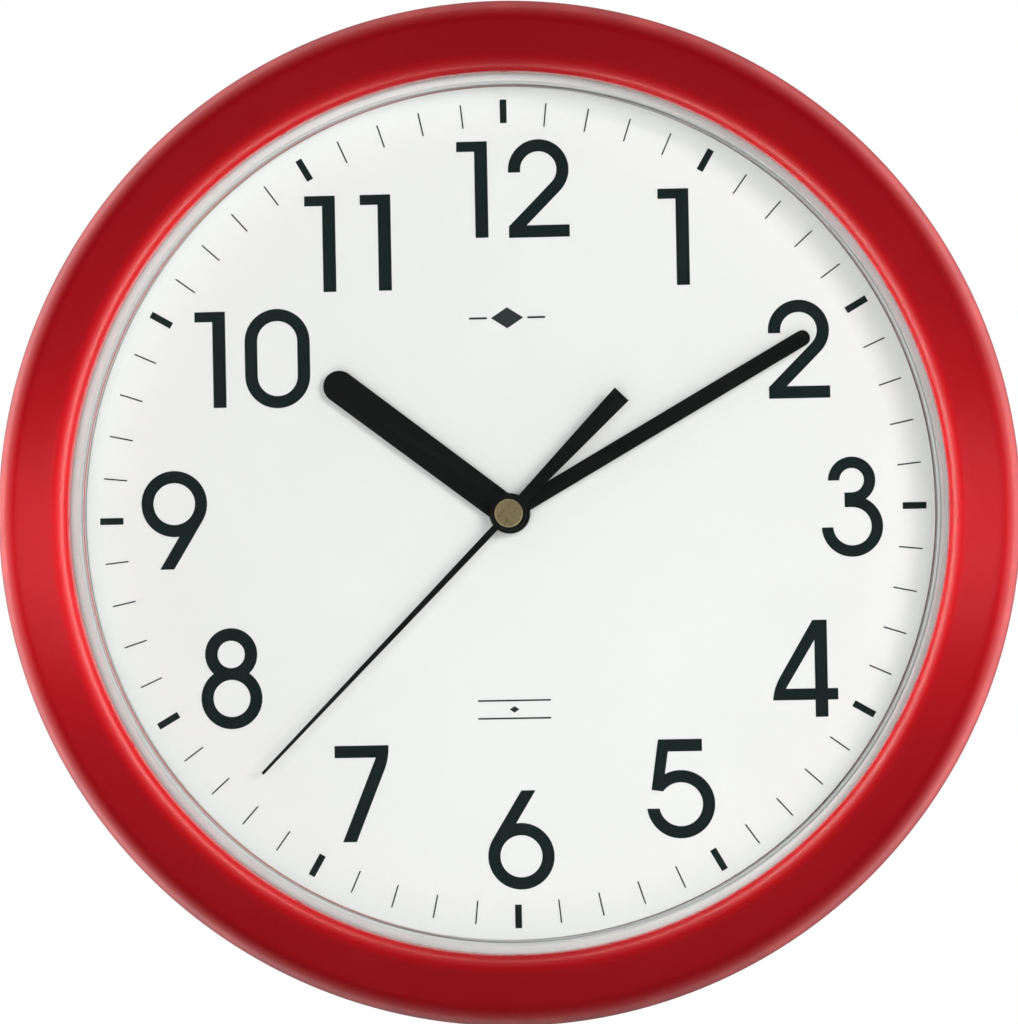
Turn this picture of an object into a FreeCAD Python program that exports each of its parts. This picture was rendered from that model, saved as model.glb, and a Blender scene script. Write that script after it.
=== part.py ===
"""Round wall clock with a red moulded bezel and a battery quartz movement.

Everything is drawn lying on its back: x to the right of the face, y up the face
and z out of the wall towards the reader.  save() stands each piece upright, so
in the finished files the wall plane is y = 0, the face looks along -y and +z is
up.  The hand axis is the origin of the face.  All sizes are millimetres.
"""
import math
import os

import FreeCAD
import Part

V = FreeCAD.Vector

# ---- overall sizes -------------------------------------------------------------
CLOCK_D = 250.0           # across the bezel
CLOCK_DEPTH = 42.0        # wall to the crest of the bezel

# ---- bezel ---------------------------------------------------------------------
BEZEL_BAND = 17.5         # width of the red band seen from the front
BEZEL_WALL = 2.2
BEZEL_DRAFT = 1.0         # the rear rim is this much smaller in radius
OUTER_ROUND = 5.4         # rounding at the outside of the crest
INNER_ROUND = 4.6         # rounding at the opening
BOSS_R = 3.5

# ---- lens ----------------------------------------------------------------------
LENS_T = 1.5
LENS_LIP = 7.5            # how far the red lip stands in front of the lens flange
LENS_STEP_IN = 2.55       # ring-shaped step, measured in from the opening
LENS_STEP_H = 0.8
LENS_RISE = 2.5           # height of the shallow dome
LENS_HOLD = 3.5           # flange width hidden behind the lip

# ---- back shell ----------------------------------------------------------------
SHELL_T = 2.0
SEAT_T = 2.2              # wall that carries the lens flange
SEAT_SHOW = 1.6           # how much of that wall shows inside the opening
RIB_T = 1.5
RIB_H = 6.0
RIB_COUNT = 8
SHELL_EDGE_GAP = 0.4      # shell to the rear rim of the bezel

# ---- hanger --------------------------------------------------------------------
HANGER_Y = 82.0           # keyhole centre above the hand axis
HANGER_W = 30.0
HANGER_H = 34.0
HANGER_WALL_GAP = 2.0     # hanger face to the wall
KEYHOLE_R = 5.0
KEYHOLE_SLOT_W = 5.2
KEYHOLE_SLOT_UP = 9.0

# ---- dial ----------------------------------------------------------------------
DIAL_T = 0.8
DIAL_EDGE_GAP = 0.3
DIAL_HOLE_R = 3.75
PRINT_T = 0.12            # thickness of the printed figures
TICK_OUT = 102.2          # outer end of the hour marks
TICK_LONG = 5.8
HOUR_TICK_W = 1.65
MINUTE_TICK_W = 0.32
MINUTE_TICK_IN = 0.6      # the minute marks sit this much further in

# ---- numerals ------------------------------------------------------------------
FIGURE_H = 23.8           # height of the flat-topped figures
STROKE = 3.0
HOUR_PLACES = {
    1: (41.5, 67.3),
    2: (71.7, 39.0),
    3: (84.0, 0.0),
    4: (71.7, -39.5),
    5: (40.6, -68.5),
    6: (1.0, -80.5),
    7: (-38.1, -68.5),
    8: (-70.1, -39.5),
    9: (-83.6, 0.0),
    10: (-63.5, 39.5),
    11: (-39.1, 67.6),
    12: (1.1, 80.1),
}

# ---- hands (angles clockwise from twelve) ----------------------------------------
HOUR_ANGLE = 307.6
MINUTE_ANGLE = 60.3
SECOND_ANGLE = 224.6
HAND_T = 0.6
HOUR_HAND_L = 56.6
HOUR_HAND_W = 7.9
HOUR_HAND_ROOT_W = 7.5
MINUTE_HAND_L = 85.6
MINUTE_HAND_W = 3.9
HAND_HUB_R = 5.0
SECOND_HAND_L = 88.4
SECOND_TIP_W = 0.7
SECOND_ROOT_W = 1.75
SECOND_TAIL_L = 40.3
SECOND_TAIL_W = 4.7
SECOND_TAIL_ROOT_W = 2.3
SECOND_HUB_R = 4.3
CAP_R = 3.45
CAP_T = 1.2
HAND_PITCH = 2.0          # height from one hand to the next
HOUR_HAND_LIFT = 2.0      # dial face to the underside of the hour hand

# ---- movement case -------------------------------------------------------------
MOVE_SIZE = 56.0
MOVE_DEPTH = 15.0
MOVE_CORNER = 3.0
CASE_WALL = 1.3
CASE_FLOOR = 1.2
BAY_WALL_Y = -10.4        # upper face of the wall over the battery bay
BAY_WALL_T = 1.0

# ---- battery -------------------------------------------------------------------
CELL_R = 7.1
CELL_L = 49.9
CELL_NUB_L = 1.0
CELL_NUB_R = 2.7
CELL_Y = -19.2
CELL_SHIFT = 0.75         # the cell sits this far towards its positive contact
SPRING_WIRE_R = 0.25
SPRING_R = 3.0            # at the end that touches the cell
SPRING_LEAN = 30.0        # slope of the cone it is wound on

# ---- clearances ----------------------------------------------------------------
RUN = 0.06                # shaft in a bearing
PRESS = 0.02              # pushed-on parts
SNAP_GAP = 0.4            # movement to the frame that holds it
SHAFT_R = 0.5
MINUTE_PIPE_R = 1.65
HOUR_PIPE_R = 2.5
BUSH_R = 3.5

# ---- gear train ----------------------------------------------------------------
PRESSURE = math.radians(20)
THIN = 0.04               # taken off each tooth for backlash
WHEEL_ADD = 0.6
PINION_ADD = 1.0
DEDENDUM = 1.25
WHEEL_T = 0.8

# ---- levels out of the wall ----------------------------------------------------
CREST_Z = CLOCK_DEPTH
LENS_FRONT_Z = CREST_Z - LENS_LIP
LENS_REAR_Z = LENS_FRONT_Z - LENS_T
MOVE_REAR_Z = 4.2
MOVE_FRONT_Z = MOVE_REAR_Z + MOVE_DEPTH
SHELL_FRONT_Z = MOVE_FRONT_Z + SHELL_T
DIAL_Z = SHELL_FRONT_Z + DIAL_T
FLOOR_Z = MOVE_REAR_Z + CASE_FLOOR
LID_Z = MOVE_FRONT_Z - CASE_FLOOR
CELL_Z = LID_Z - CELL_R - 0.3
HOUR_HAND_Z = DIAL_Z + HOUR_HAND_LIFT
MINUTE_HAND_Z = HOUR_HAND_Z + HAND_PITCH
SECOND_HAND_Z = MINUTE_HAND_Z + HAND_PITCH

PIVOT_Z = FLOOR_Z - 0.7
PIVOT_PLAY = 0.1
SECOND_WHEEL_Z = FLOOR_Z + 1.4
SECOND_PINION_Z = SECOND_WHEEL_Z + WHEEL_T
FIFTH_PINION_Z = SECOND_WHEEL_Z - 0.2
LOW_WHEELS_Z = SECOND_PINION_Z + 0.6
THIRD_PINION_Z = LOW_WHEELS_Z + WHEEL_T
CENTER_WHEEL_Z = THIRD_PINION_Z + 1.0
PLATE_Z = CENTER_WHEEL_Z + WHEEL_T + 1.0
PLATE_T = 1.0
CANNON_Z = PLATE_Z + PLATE_T + 0.3
CANNON_TALL = 1.4
MOTION_WHEEL_Z = CANNON_Z + 0.3
MOTION_PINION_Z = MOTION_WHEEL_Z + WHEEL_T
HOUR_WHEEL_Z = MOTION_PINION_Z + 1.0
MAGNET_Z = LOW_WHEELS_Z + 1.4
MAGNET_TALL = 1.8
STATOR_Z = MAGNET_Z + 0.3
STATOR_T = 1.2

# ---- radii ---------------------------------------------------------------------
BEZEL_R = CLOCK_D / 2
RIM_R = BEZEL_R - BEZEL_DRAFT
OPENING_R = BEZEL_R - BEZEL_BAND
LENS_STEP_R = OPENING_R - LENS_STEP_IN
LENS_R = OPENING_R + LENS_HOLD
SEAT_R = OPENING_R - SEAT_SHOW
DIAL_R = SEAT_R - DIAL_EDGE_GAP
SHELL_R = RIM_R - BEZEL_WALL - SHELL_EDGE_GAP
BOSS_CIRCLE = LENS_R + 0.5 + BOSS_R
SCREW_R = 1.25
SCREW_HEAD_R = 3.0
BOSS_ANGLES = (45, 135, 225, 315)
MOVE_HALF = MOVE_SIZE / 2
INNER_HALF = MOVE_HALF - CASE_WALL
STANDING_UP = 90

# ---- wheels of the train ---------------------------------------------------------
SECOND_TEETH = 60
SECOND_PINION_TEETH = 10
THIRD_TEETH = 75
THIRD_PINION_TEETH = 10
CENTER_TEETH = 80
FIFTH_TEETH = 60
FIFTH_PINION_TEETH = 10
ROTOR_TEETH = 12
CANNON_TEETH = 12
MOTION_TEETH = 36
MOTION_PINION_TEETH = 10
HOUR_TEETH = 40
SETTING_TEETH = 12

THIRD_MODULE = 0.24
THIRD_CENTRES = THIRD_MODULE * (SECOND_PINION_TEETH + THIRD_TEETH) / 2
CENTER_MODULE = 2 * THIRD_CENTRES / (THIRD_PINION_TEETH + CENTER_TEETH)
SECOND_MODULE = 0.29
SECOND_CENTRES = SECOND_MODULE * (SECOND_TEETH + FIFTH_PINION_TEETH) / 2
ROTOR_MODULE = 0.22
ROTOR_CENTRES = ROTOR_MODULE * (FIFTH_TEETH + ROTOR_TEETH) / 2
MOTION_MODULE = 0.3
MOTION_CENTRES = MOTION_MODULE * (CANNON_TEETH + MOTION_TEETH) / 2
HOUR_MODULE = 2 * MOTION_CENTRES / (MOTION_PINION_TEETH + HOUR_TEETH)

THIRD_BEARING = math.radians(30)
FIFTH_BEARING = math.radians(165)
ROTOR_BEARING = math.radians(100)
MOTION_BEARING = math.radians(80)

SETTING_SHAFT_R = 1.0
ROTOR_SHAFT_R = 0.4
PLATE_TOP_Y = 16.2

# ---- board, coil and magnet -------------------------------------------------------
BOARD_Z = 9.0
BOARD_T = 1.0
STRIP_T = 0.4
COIL_LEFT = -20.5
COIL_RIGHT = 7.0
COIL_Y = 22.0
CORE_Z = STATOR_Z + STATOR_T
CORE_T = 1.0
CORE_HALF = 1.0
TUBE_WALL = 0.5
CORE_FIT = 0.1
LEG_LEFT = -24.0
LEG_RIGHT = 10.5
LEG_W = 2.5
MAGNET_R = 3.0
ROTOR_HOLE_R = MAGNET_R + 0.5


# ---- drawing helpers -------------------------------------------------------------
def disc(radius, low, high, x=0.0, y=0.0):
    return Part.makeCylinder(radius, high - low, V(x, y, low))


def pipe(outer, inner, low, high, x=0.0, y=0.0):
    return disc(outer, low, high, x, y).cut(disc(inner, low, high, x, y))


def block(x0, x1, y0, y1, low, high):
    return Part.makeBox(x1 - x0, y1 - y0, high - low, V(x0, y0, low))


def polar(radius, angle):
    return radius * math.cos(angle), radius * math.sin(angle)


def joined(first, *others):
    return first.multiFuse(list(others)).removeSplitter()


def quarter(cx, cy, radius, start, turn):
    """Way point and end point of a quarter round, angles in degrees."""
    middle = polar(radius, math.radians(start + turn / 2))
    end = polar(radius, math.radians(start + turn))
    return (cx + middle[0], cy + middle[1]), (cx + end[0], cy + end[1])


def outline(corners, place):
    """Closed face; a corner given as (way point, end point) is a round stretch."""
    edges = []
    here = corners[0]
    for corner in list(corners[1:]) + [corners[0]]:
        if isinstance(corner[0], tuple):
            way, there = corner
            edges.append(Part.Arc(place(here), place(way), place(there)).toShape())
        else:
            there = corner
            if (place(here) - place(there)).Length > 1e-6:
                edges.append(Part.LineSegment(place(here), place(there)).toShape())
        here = there
    return Part.Face(Part.Wire(edges))


def turned(*corners):
    """Solid of revolution about the hand axis from (radius, z) corners."""
    face = outline(corners, lambda p: V(p[0], 0, p[1]))
    return face.revolve(V(0, 0, 0), V(0, 0, 1), 360)


def sheet(low, high, *corners):
    """Flat piece cut to (x, y) corners."""
    face = outline(corners, lambda p: V(p[0], p[1], low))
    return face.extrude(V(0, 0, high - low))


def rounded_block(half_x, half_y, radius, low, high):
    cx = half_x - radius
    cy = half_y - radius
    return sheet(
        low, high,
        (half_x, -cy), (half_x, cy),
        quarter(cx, cy, radius, 0, 90), (-cx, half_y),
        quarter(-cx, cy, radius, 90, 90), (-half_x, -cy),
        quarter(-cx, -cy, radius, 180, 90), (cx, -half_y),
        quarter(cx, -cy, radius, 270, 90),
    )


def spun(shape, degrees, x=0.0, y=0.0):
    copy = shape.copy()
    copy.rotate(V(x, y, 0), V(0, 0, 1), degrees)
    return copy


def moved(shape, x, y, z=0.0):
    copy = shape.copy()
    copy.translate(V(x, y, z))
    return copy


def save(name, *solids):
    shape = solids[0] if len(solids) == 1 else Part.makeCompound(list(solids))
    upright = shape.copy()
    upright.rotate(V(0, 0, 0), V(1, 0, 0), STANDING_UP)
    upright.exportStep("parts/" + name + ".step")


# ---- gears -----------------------------------------------------------------------
def involute(angle):
    return math.tan(angle) - angle


def gear(teeth, module, addendum, low, high, x=0.0, y=0.0, phase=0.0):
    """Spur gear with one tooth centred on the phase angle (radians)."""
    pitch_r = module * teeth / 2
    base_r = pitch_r * math.cos(PRESSURE)
    tip_r = pitch_r + addendum * module
    root_r = pitch_r - DEDENDUM * module
    foot_r = max(base_r, root_r)
    middle_r = (foot_r + tip_r) / 2
    at_pitch = (math.pi * module / 2 - THIN) / (2 * pitch_r) + involute(PRESSURE)

    def half(radius):
        return at_pitch - involute(math.acos(base_r / radius))

    corners = []
    step = 2 * math.pi / teeth
    for tooth in range(teeth):
        mid = phase + tooth * step
        root_point = polar(root_r, mid - half(foot_r))
        if tooth == 0:
            corners.append(root_point)
        else:
            corners.append((polar(root_r, mid - step / 2), root_point))
        corners.append((polar(middle_r, mid - half(middle_r)), polar(tip_r, mid - half(tip_r))))
        corners.append((polar(tip_r, mid), polar(tip_r, mid + half(tip_r))))
        corners.append((polar(middle_r, mid + half(middle_r)), polar(root_r, mid + half(foot_r))))
    return moved(sheet(low, high, *corners), x, y)


def meshed(phase, teeth, other_teeth, bearing):
    """Phase that lets a second gear's gap take the first gear's tooth."""
    turn = (phase - bearing) * teeth / (2 * math.pi)
    return bearing + math.pi + (2 * math.pi / other_teeth) * (0.5 - turn)


def away(centre, distance, bearing):
    dx, dy = polar(distance, bearing)
    return centre[0] + dx, centre[1] + dy


def windows(count, radius, circle, low, high, x, y):
    """Round lightening holes of a wheel."""
    holes = []
    for index in range(count):
        hx, hy = polar(circle, 2 * math.pi * index / count)
        holes.append(disc(radius, low, high, x + hx, y + hy))
    return holes


THIRD_AXIS = away((0.0, 0.0), THIRD_CENTRES, THIRD_BEARING)
FIFTH_AXIS = away((0.0, 0.0), SECOND_CENTRES, FIFTH_BEARING)
ROTOR_AXIS = away(FIFTH_AXIS, ROTOR_CENTRES, ROTOR_BEARING)
MOTION_AXIS = away((0.0, 0.0), MOTION_CENTRES, MOTION_BEARING)
SETTING_AXIS = away(MOTION_AXIS, MOTION_CENTRES, MOTION_BEARING)

THIRD_PHASE = meshed(0.0, SECOND_PINION_TEETH, THIRD_TEETH, THIRD_BEARING)
CENTER_PHASE = meshed(THIRD_PHASE, THIRD_PINION_TEETH, CENTER_TEETH, THIRD_BEARING + math.pi)
FIFTH_PHASE = meshed(0.0, SECOND_TEETH, FIFTH_PINION_TEETH, FIFTH_BEARING)
ROTOR_PHASE = meshed(FIFTH_PHASE, FIFTH_TEETH, ROTOR_TEETH, ROTOR_BEARING)
MOTION_PHASE = meshed(CENTER_PHASE, CANNON_TEETH, MOTION_TEETH, MOTION_BEARING)
HOUR_PHASE = meshed(MOTION_PHASE, MOTION_PINION_TEETH, HOUR_TEETH, MOTION_BEARING + math.pi)
SETTING_PHASE = meshed(MOTION_PHASE, MOTION_TEETH, SETTING_TEETH, MOTION_BEARING)


# ---- case ------------------------------------------------------------------------
def boss_places():
    return [polar(BOSS_CIRCLE, math.radians(angle)) for angle in BOSS_ANGLES]


def bezel():
    outer_c = BEZEL_R - OUTER_ROUND
    inner_c = OPENING_R + INNER_ROUND
    outer_z = CREST_Z - OUTER_ROUND
    inner_z = CREST_Z - INNER_ROUND
    body = turned(
        (RIM_R, 0.0), (BEZEL_R, outer_z),
        quarter(outer_c, outer_z, OUTER_ROUND, 0, 90), (inner_c, CREST_Z),
        quarter(inner_c, inner_z, INNER_ROUND, 90, 90), (OPENING_R, LENS_FRONT_Z),
        (OPENING_R + BEZEL_WALL, LENS_FRONT_Z), (OPENING_R + BEZEL_WALL, inner_z),
        quarter(inner_c, inner_z, INNER_ROUND - BEZEL_WALL, 180, -90),
        (outer_c, CREST_Z - BEZEL_WALL),
        quarter(outer_c, outer_z, OUTER_ROUND - BEZEL_WALL, 90, -90),
        (RIM_R - BEZEL_WALL, 0.0),
    )
    bosses = [disc(BOSS_R, SHELL_FRONT_Z, CREST_Z - BEZEL_WALL / 2, x, y) for x, y in boss_places()]
    body = joined(body, *bosses)
    for x, y in boss_places():
        body = body.cut(disc(SCREW_R + PRESS, SHELL_FRONT_Z, SHELL_FRONT_Z + 12.5, x, y))
    return body


def dome(radius, base_z, rise):
    """Way point and crown of a shallow dome centred on the hand axis."""
    sphere_r = (radius ** 2 + rise ** 2) / (2 * rise)
    half = radius / 2
    way = (half, base_z + rise - sphere_r + math.sqrt(sphere_r ** 2 - half ** 2))
    return way, (0.0, base_z + rise)


def lens():
    step_top = LENS_FRONT_Z + LENS_STEP_H
    inner_r = LENS_STEP_R - 0.7
    front_r = LENS_STEP_R - 0.4
    inner_way, inner_crown = dome(inner_r, step_top - LENS_T, LENS_RISE)
    front_way, front_crown = dome(front_r, step_top, LENS_RISE)
    return turned(
        front_crown, inner_crown, (inner_way, (inner_r, step_top - LENS_T)),
        (LENS_STEP_R - 0.3, LENS_REAR_Z), (LENS_R, LENS_REAR_Z),
        (LENS_R, LENS_FRONT_Z), (LENS_STEP_R, LENS_FRONT_Z), (front_r, step_top),
        (front_way, front_crown),
    )


def hanger():
    x = HANGER_W / 2
    low_y = HANGER_Y - HANGER_H / 2 + 2
    high_y = HANGER_Y + HANGER_H / 2 + 2
    rear = HANGER_WALL_GAP
    box = block(-x, x, low_y, high_y, rear, MOVE_FRONT_Z + SHELL_T / 2)
    hollow = block(-x + SHELL_T, x - SHELL_T, low_y + SHELL_T, high_y - SHELL_T,
                   rear + SHELL_T, MOVE_FRONT_Z)
    slot_top = HANGER_Y + KEYHOLE_SLOT_UP
    half_slot = KEYHOLE_SLOT_W / 2
    key = joined(
        disc(KEYHOLE_R, rear, rear + SHELL_T, 0, HANGER_Y),
        block(-half_slot, half_slot, HANGER_Y, slot_top, rear, rear + SHELL_T),
        disc(half_slot, rear, rear + SHELL_T, 0, slot_top),
    )
    return box.cut(hollow).cut(key)


def movement_frame():
    inner_x = MOVE_HALF + SNAP_GAP
    inner_y = MOVE_HALF + 0.8 + SNAP_GAP
    wall = 1.6
    low = MOVE_FRONT_Z - 4.0
    high = MOVE_FRONT_Z + SHELL_T / 2
    frame = block(-inner_x - wall, inner_x + wall, -inner_y - wall, inner_y + wall, low, high)
    return frame.cut(block(-inner_x, inner_x, -inner_y, inner_y, low, high))


def snap_hook(side, y):
    """Springy arm whose lip lies behind the movement."""
    gap_x = MOVE_HALF + SNAP_GAP
    lip_z = MOVE_REAR_Z - 0.1
    face = outline(
        ((gap_x, MOVE_FRONT_Z + SHELL_T / 2), (gap_x, lip_z), (gap_x - 1.6, lip_z),
         (gap_x - 1.6, lip_z - 0.5), (gap_x + 0.2, lip_z - 1.5), (gap_x + 2.0, lip_z - 1.5),
         (gap_x + 2.0, MOVE_FRONT_Z + SHELL_T / 2)),
        lambda p: V(side * p[0], y - 4.0, p[1]),
    )
    return face.extrude(V(0, 8.0, 0))


def ribs():
    pieces = []
    start = MOVE_SIZE * 0.76
    for index in range(RIB_COUNT):
        angle = (index + 0.5) * 360 / RIB_COUNT
        rib = block(start, SEAT_R, -RIB_T / 2, RIB_T / 2, MOVE_FRONT_Z - RIB_H, MOVE_FRONT_Z + 1)
        pieces.append(spun(rib, angle))
    return pieces


def back_shell():
    plate = disc(SHELL_R, MOVE_FRONT_Z, SHELL_FRONT_Z)
    seat = pipe(SEAT_R + SEAT_T, SEAT_R, SHELL_FRONT_Z - SHELL_T / 2, LENS_REAR_Z)
    hooks = [snap_hook(side, y) for side in (-1, 1) for y in (-14.0, 14.0)]
    shell = joined(plate, seat, hanger(), movement_frame(), *hooks, *ribs())
    shell = shell.cut(disc(HOUR_PIPE_R * 2, MOVE_FRONT_Z, SHELL_FRONT_Z))
    for x, y in boss_places():
        shell = shell.cut(disc(SCREW_R + 0.4, MOVE_FRONT_Z, SHELL_FRONT_Z, x, y))
    return shell


def bezel_screw():
    head_low = MOVE_FRONT_Z - 2.0
    screw = turned(
        (0.0, head_low), (SCREW_HEAD_R - 0.8, head_low),
        quarter(SCREW_HEAD_R - 0.8, head_low + 0.8, 0.8, 270, 90), (SCREW_HEAD_R, MOVE_FRONT_Z),
        (SCREW_R, MOVE_FRONT_Z), (SCREW_R, SHELL_FRONT_Z + 10.5), (0.0, SHELL_FRONT_Z + 12.0),
    )
    for turn in (0, 90):
        screw = screw.cut(spun(block(-2.0, 2.0, -0.35, 0.35, head_low, head_low + 1.1), turn))
    return screw


def bezel_screws():
    return [moved(bezel_screw(), x, y) for x, y in boss_places()]


# ---- dial and its print ------------------------------------------------------------
def dial():
    return pipe(DIAL_R, DIAL_HOLE_R, SHELL_FRONT_Z, DIAL_Z)


def ink(*corners):
    return sheet(DIAL_Z, DIAL_Z + PRINT_T, *corners)


def bar(x0, x1, y0, y1):
    return block(x0, x1, y0, y1, DIAL_Z, DIAL_Z + PRINT_T)


def ring(outer, inner, y):
    return pipe(outer, inner, DIAL_Z, DIAL_Z + PRINT_T, 0, y)


def slanted(radius, degrees, reach, y):
    """Straight stroke that leaves a ring on its tangent."""
    stroke = bar(0.0, reach, radius - STROKE, radius)
    return moved(spun(stroke, degrees), 0, y)


def figure_one():
    half = FIGURE_H / 2
    wide = 7.6
    stem = 3.2
    return joined(
        bar(wide / 2 - stem, wide / 2, -half, half),
        bar(-wide / 2, wide / 2, half - 2.5, half),
    )


def figure_two():
    half = FIGURE_H / 2 + 0.2
    bowl = 7.5
    y = half - bowl
    arch = ring(bowl, bowl - STROKE, y)
    arch = arch.cut(ink((-bowl, y - 0.6), (0, y - 0.6), (0, y), (bowl, y - bowl), (bowl, -half),
                        (-bowl, -half)))
    diagonal = moved(spun(bar(-2 * half, 0.0, -bowl, STROKE - bowl), 45), 0, y)
    diagonal = diagonal.common(bar(-bowl, bowl, -half, y))
    return joined(arch, diagonal, bar(-bowl, bowl, -half, STROKE - half))


def figure_three():
    half = FIGURE_H / 2 + 0.4
    stroke = STROKE - 0.2
    top = 5.8
    low = 7.5
    top_y = half - top
    low_y = low - half
    nose = bar(-1.8, 0.1, low_y + low - stroke, top_y - top + stroke)
    upper = pipe(top, top - stroke, DIAL_Z, DIAL_Z + PRINT_T, 0, top_y)
    upper = upper.cut(bar(-top, 0.0, top_y - top, top_y))
    lower = pipe(low, low - stroke, DIAL_Z, DIAL_Z + PRINT_T, 0, low_y)
    lower = lower.cut(bar(-low, 0.0, low_y - 0.2, low_y + low))
    return joined(upper, lower, nose)


def figure_four():
    half = FIGURE_H / 2
    outer = ink((2.0, half), (5.5, half), (5.5, -half), (2.4, -half), (2.4, -7.7), (-8.0, -7.7),
                ((-7.5, -5.0), (-6.2, -2.0)))
    counter = ink((2.4, 7.0), (2.4, -4.9), (-4.8, -4.9))
    return joined(outer.cut(counter), bar(5.0, 8.0, -7.7, -4.9))


def figure_five():
    half = FIGURE_H / 2 + 0.3
    bowl = 8.4
    y = bowl - half
    foot = y + 3.6
    bowl_ring = ring(bowl, bowl - STROKE, y)
    bowl_ring = bowl_ring.cut(ink((-10, y - 1.0), (-3, y - 1.0), (-4.4, foot - 0.4), (-7.2, foot),
                                  (-5.4, half), (-10, half)))
    stem = ink((-5.4, half), (-7.2, foot), (-4.4, foot - 0.4), (-3.9, foot + 3.6),
               (-3.0, half - STROKE), (-2.6, half))
    return joined(bowl_ring, stem, bar(-5.4, 5.4, half - STROKE, half))


def figure_six():
    half = FIGURE_H / 2 + 0.3
    bowl = 8.2
    y = bowl - half
    stroke = slanted(bowl, 58.6, 2 * half, y).common(bar(-bowl, 2 * bowl, y, half))
    return joined(ring(bowl, bowl - STROKE, y), stroke)


def figure_seven():
    half = FIGURE_H / 2
    return ink((-6.7, half), (-6.7, half - STROKE), (3.5, half - STROKE), (-5.0, -half),
               (-1.6, -half), (5.8, 6.3), ((6.5, 9.0), (6.7, half)))


def figure_eight():
    half = FIGURE_H / 2 + 0.6
    top = 6.5
    low = 7.6
    discs = joined(disc(top, DIAL_Z, DIAL_Z + PRINT_T, 0, half - top),
                   disc(low, DIAL_Z, DIAL_Z + PRINT_T, 0, low - half))
    discs = discs.cut(disc(top - STROKE - 0.1, DIAL_Z, DIAL_Z + PRINT_T, 0, half - top))
    return discs.cut(disc(low - STROKE, DIAL_Z, DIAL_Z + PRINT_T, 0, low - half))


def figure_nine():
    return spun(figure_six(), 180)


def figure_nought():
    half = FIGURE_H / 2 + 0.4
    wide = 8.1
    rise = half - wide
    slim = wide - STROKE - 0.1
    tall = half - STROKE - slim
    outer = joined(bar(-wide, wide, -rise, rise), ring(wide, 0.5, rise), ring(wide, 0.5, -rise))
    inner = joined(bar(-slim, slim, -tall, tall),
                   disc(slim, DIAL_Z, DIAL_Z + PRINT_T, 0, tall),
                   disc(slim, DIAL_Z, DIAL_Z + PRINT_T, 0, -tall))
    return outer.cut(inner)


def figures_for(hour):
    singles = {1: figure_one, 2: figure_two, 3: figure_three, 4: figure_four, 5: figure_five,
               6: figure_six, 7: figure_seven, 8: figure_eight, 9: figure_nine}
    if hour < 10:
        return [singles[hour]()]
    if hour == 10:
        return [moved(figure_one(), -10.4, 0), moved(figure_nought(), 6.3, 0)]
    if hour == 11:
        return [moved(figure_one(), -6.9, 0), moved(figure_one(), 6.9, 0)]
    return [moved(figure_one(), -9.1, 0), moved(figure_two(), 7.3, 0)]


def dial_numerals():
    pieces = []
    for hour, (x, y) in HOUR_PLACES.items():
        for figure in figures_for(hour):
            pieces.append(moved(figure, x, y))
    return pieces


def dial_ticks():
    pieces = []
    for minute in range(60):
        wide = MINUTE_TICK_W
        reach = TICK_OUT - MINUTE_TICK_IN
        if minute % 5 == 0:
            wide = HOUR_TICK_W
            reach = TICK_OUT
        pieces.append(spun(bar(-wide / 2, wide / 2, reach - TICK_LONG, reach), 6 * minute))
    return pieces


def lozenge(half_x, half_y, y):
    return ink((half_x, y), (0, y + half_y), (-half_x, y), (0, y - half_y))


def dial_ornaments():
    upper_y = 48.3
    lower_y = -48.3
    pieces = [lozenge(4.0, 2.6, upper_y), lozenge(1.2, 0.8, lower_y)]
    for side in (-1, 1):
        pieces.append(moved(bar(-2.2, 2.2, upper_y - 0.25, upper_y + 0.25), side * 7.2, 0))
        pieces.append(bar(-9.0, 9.0, lower_y + side * 2.2 - 0.2, lower_y + side * 2.2 + 0.2))
    return pieces


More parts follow.
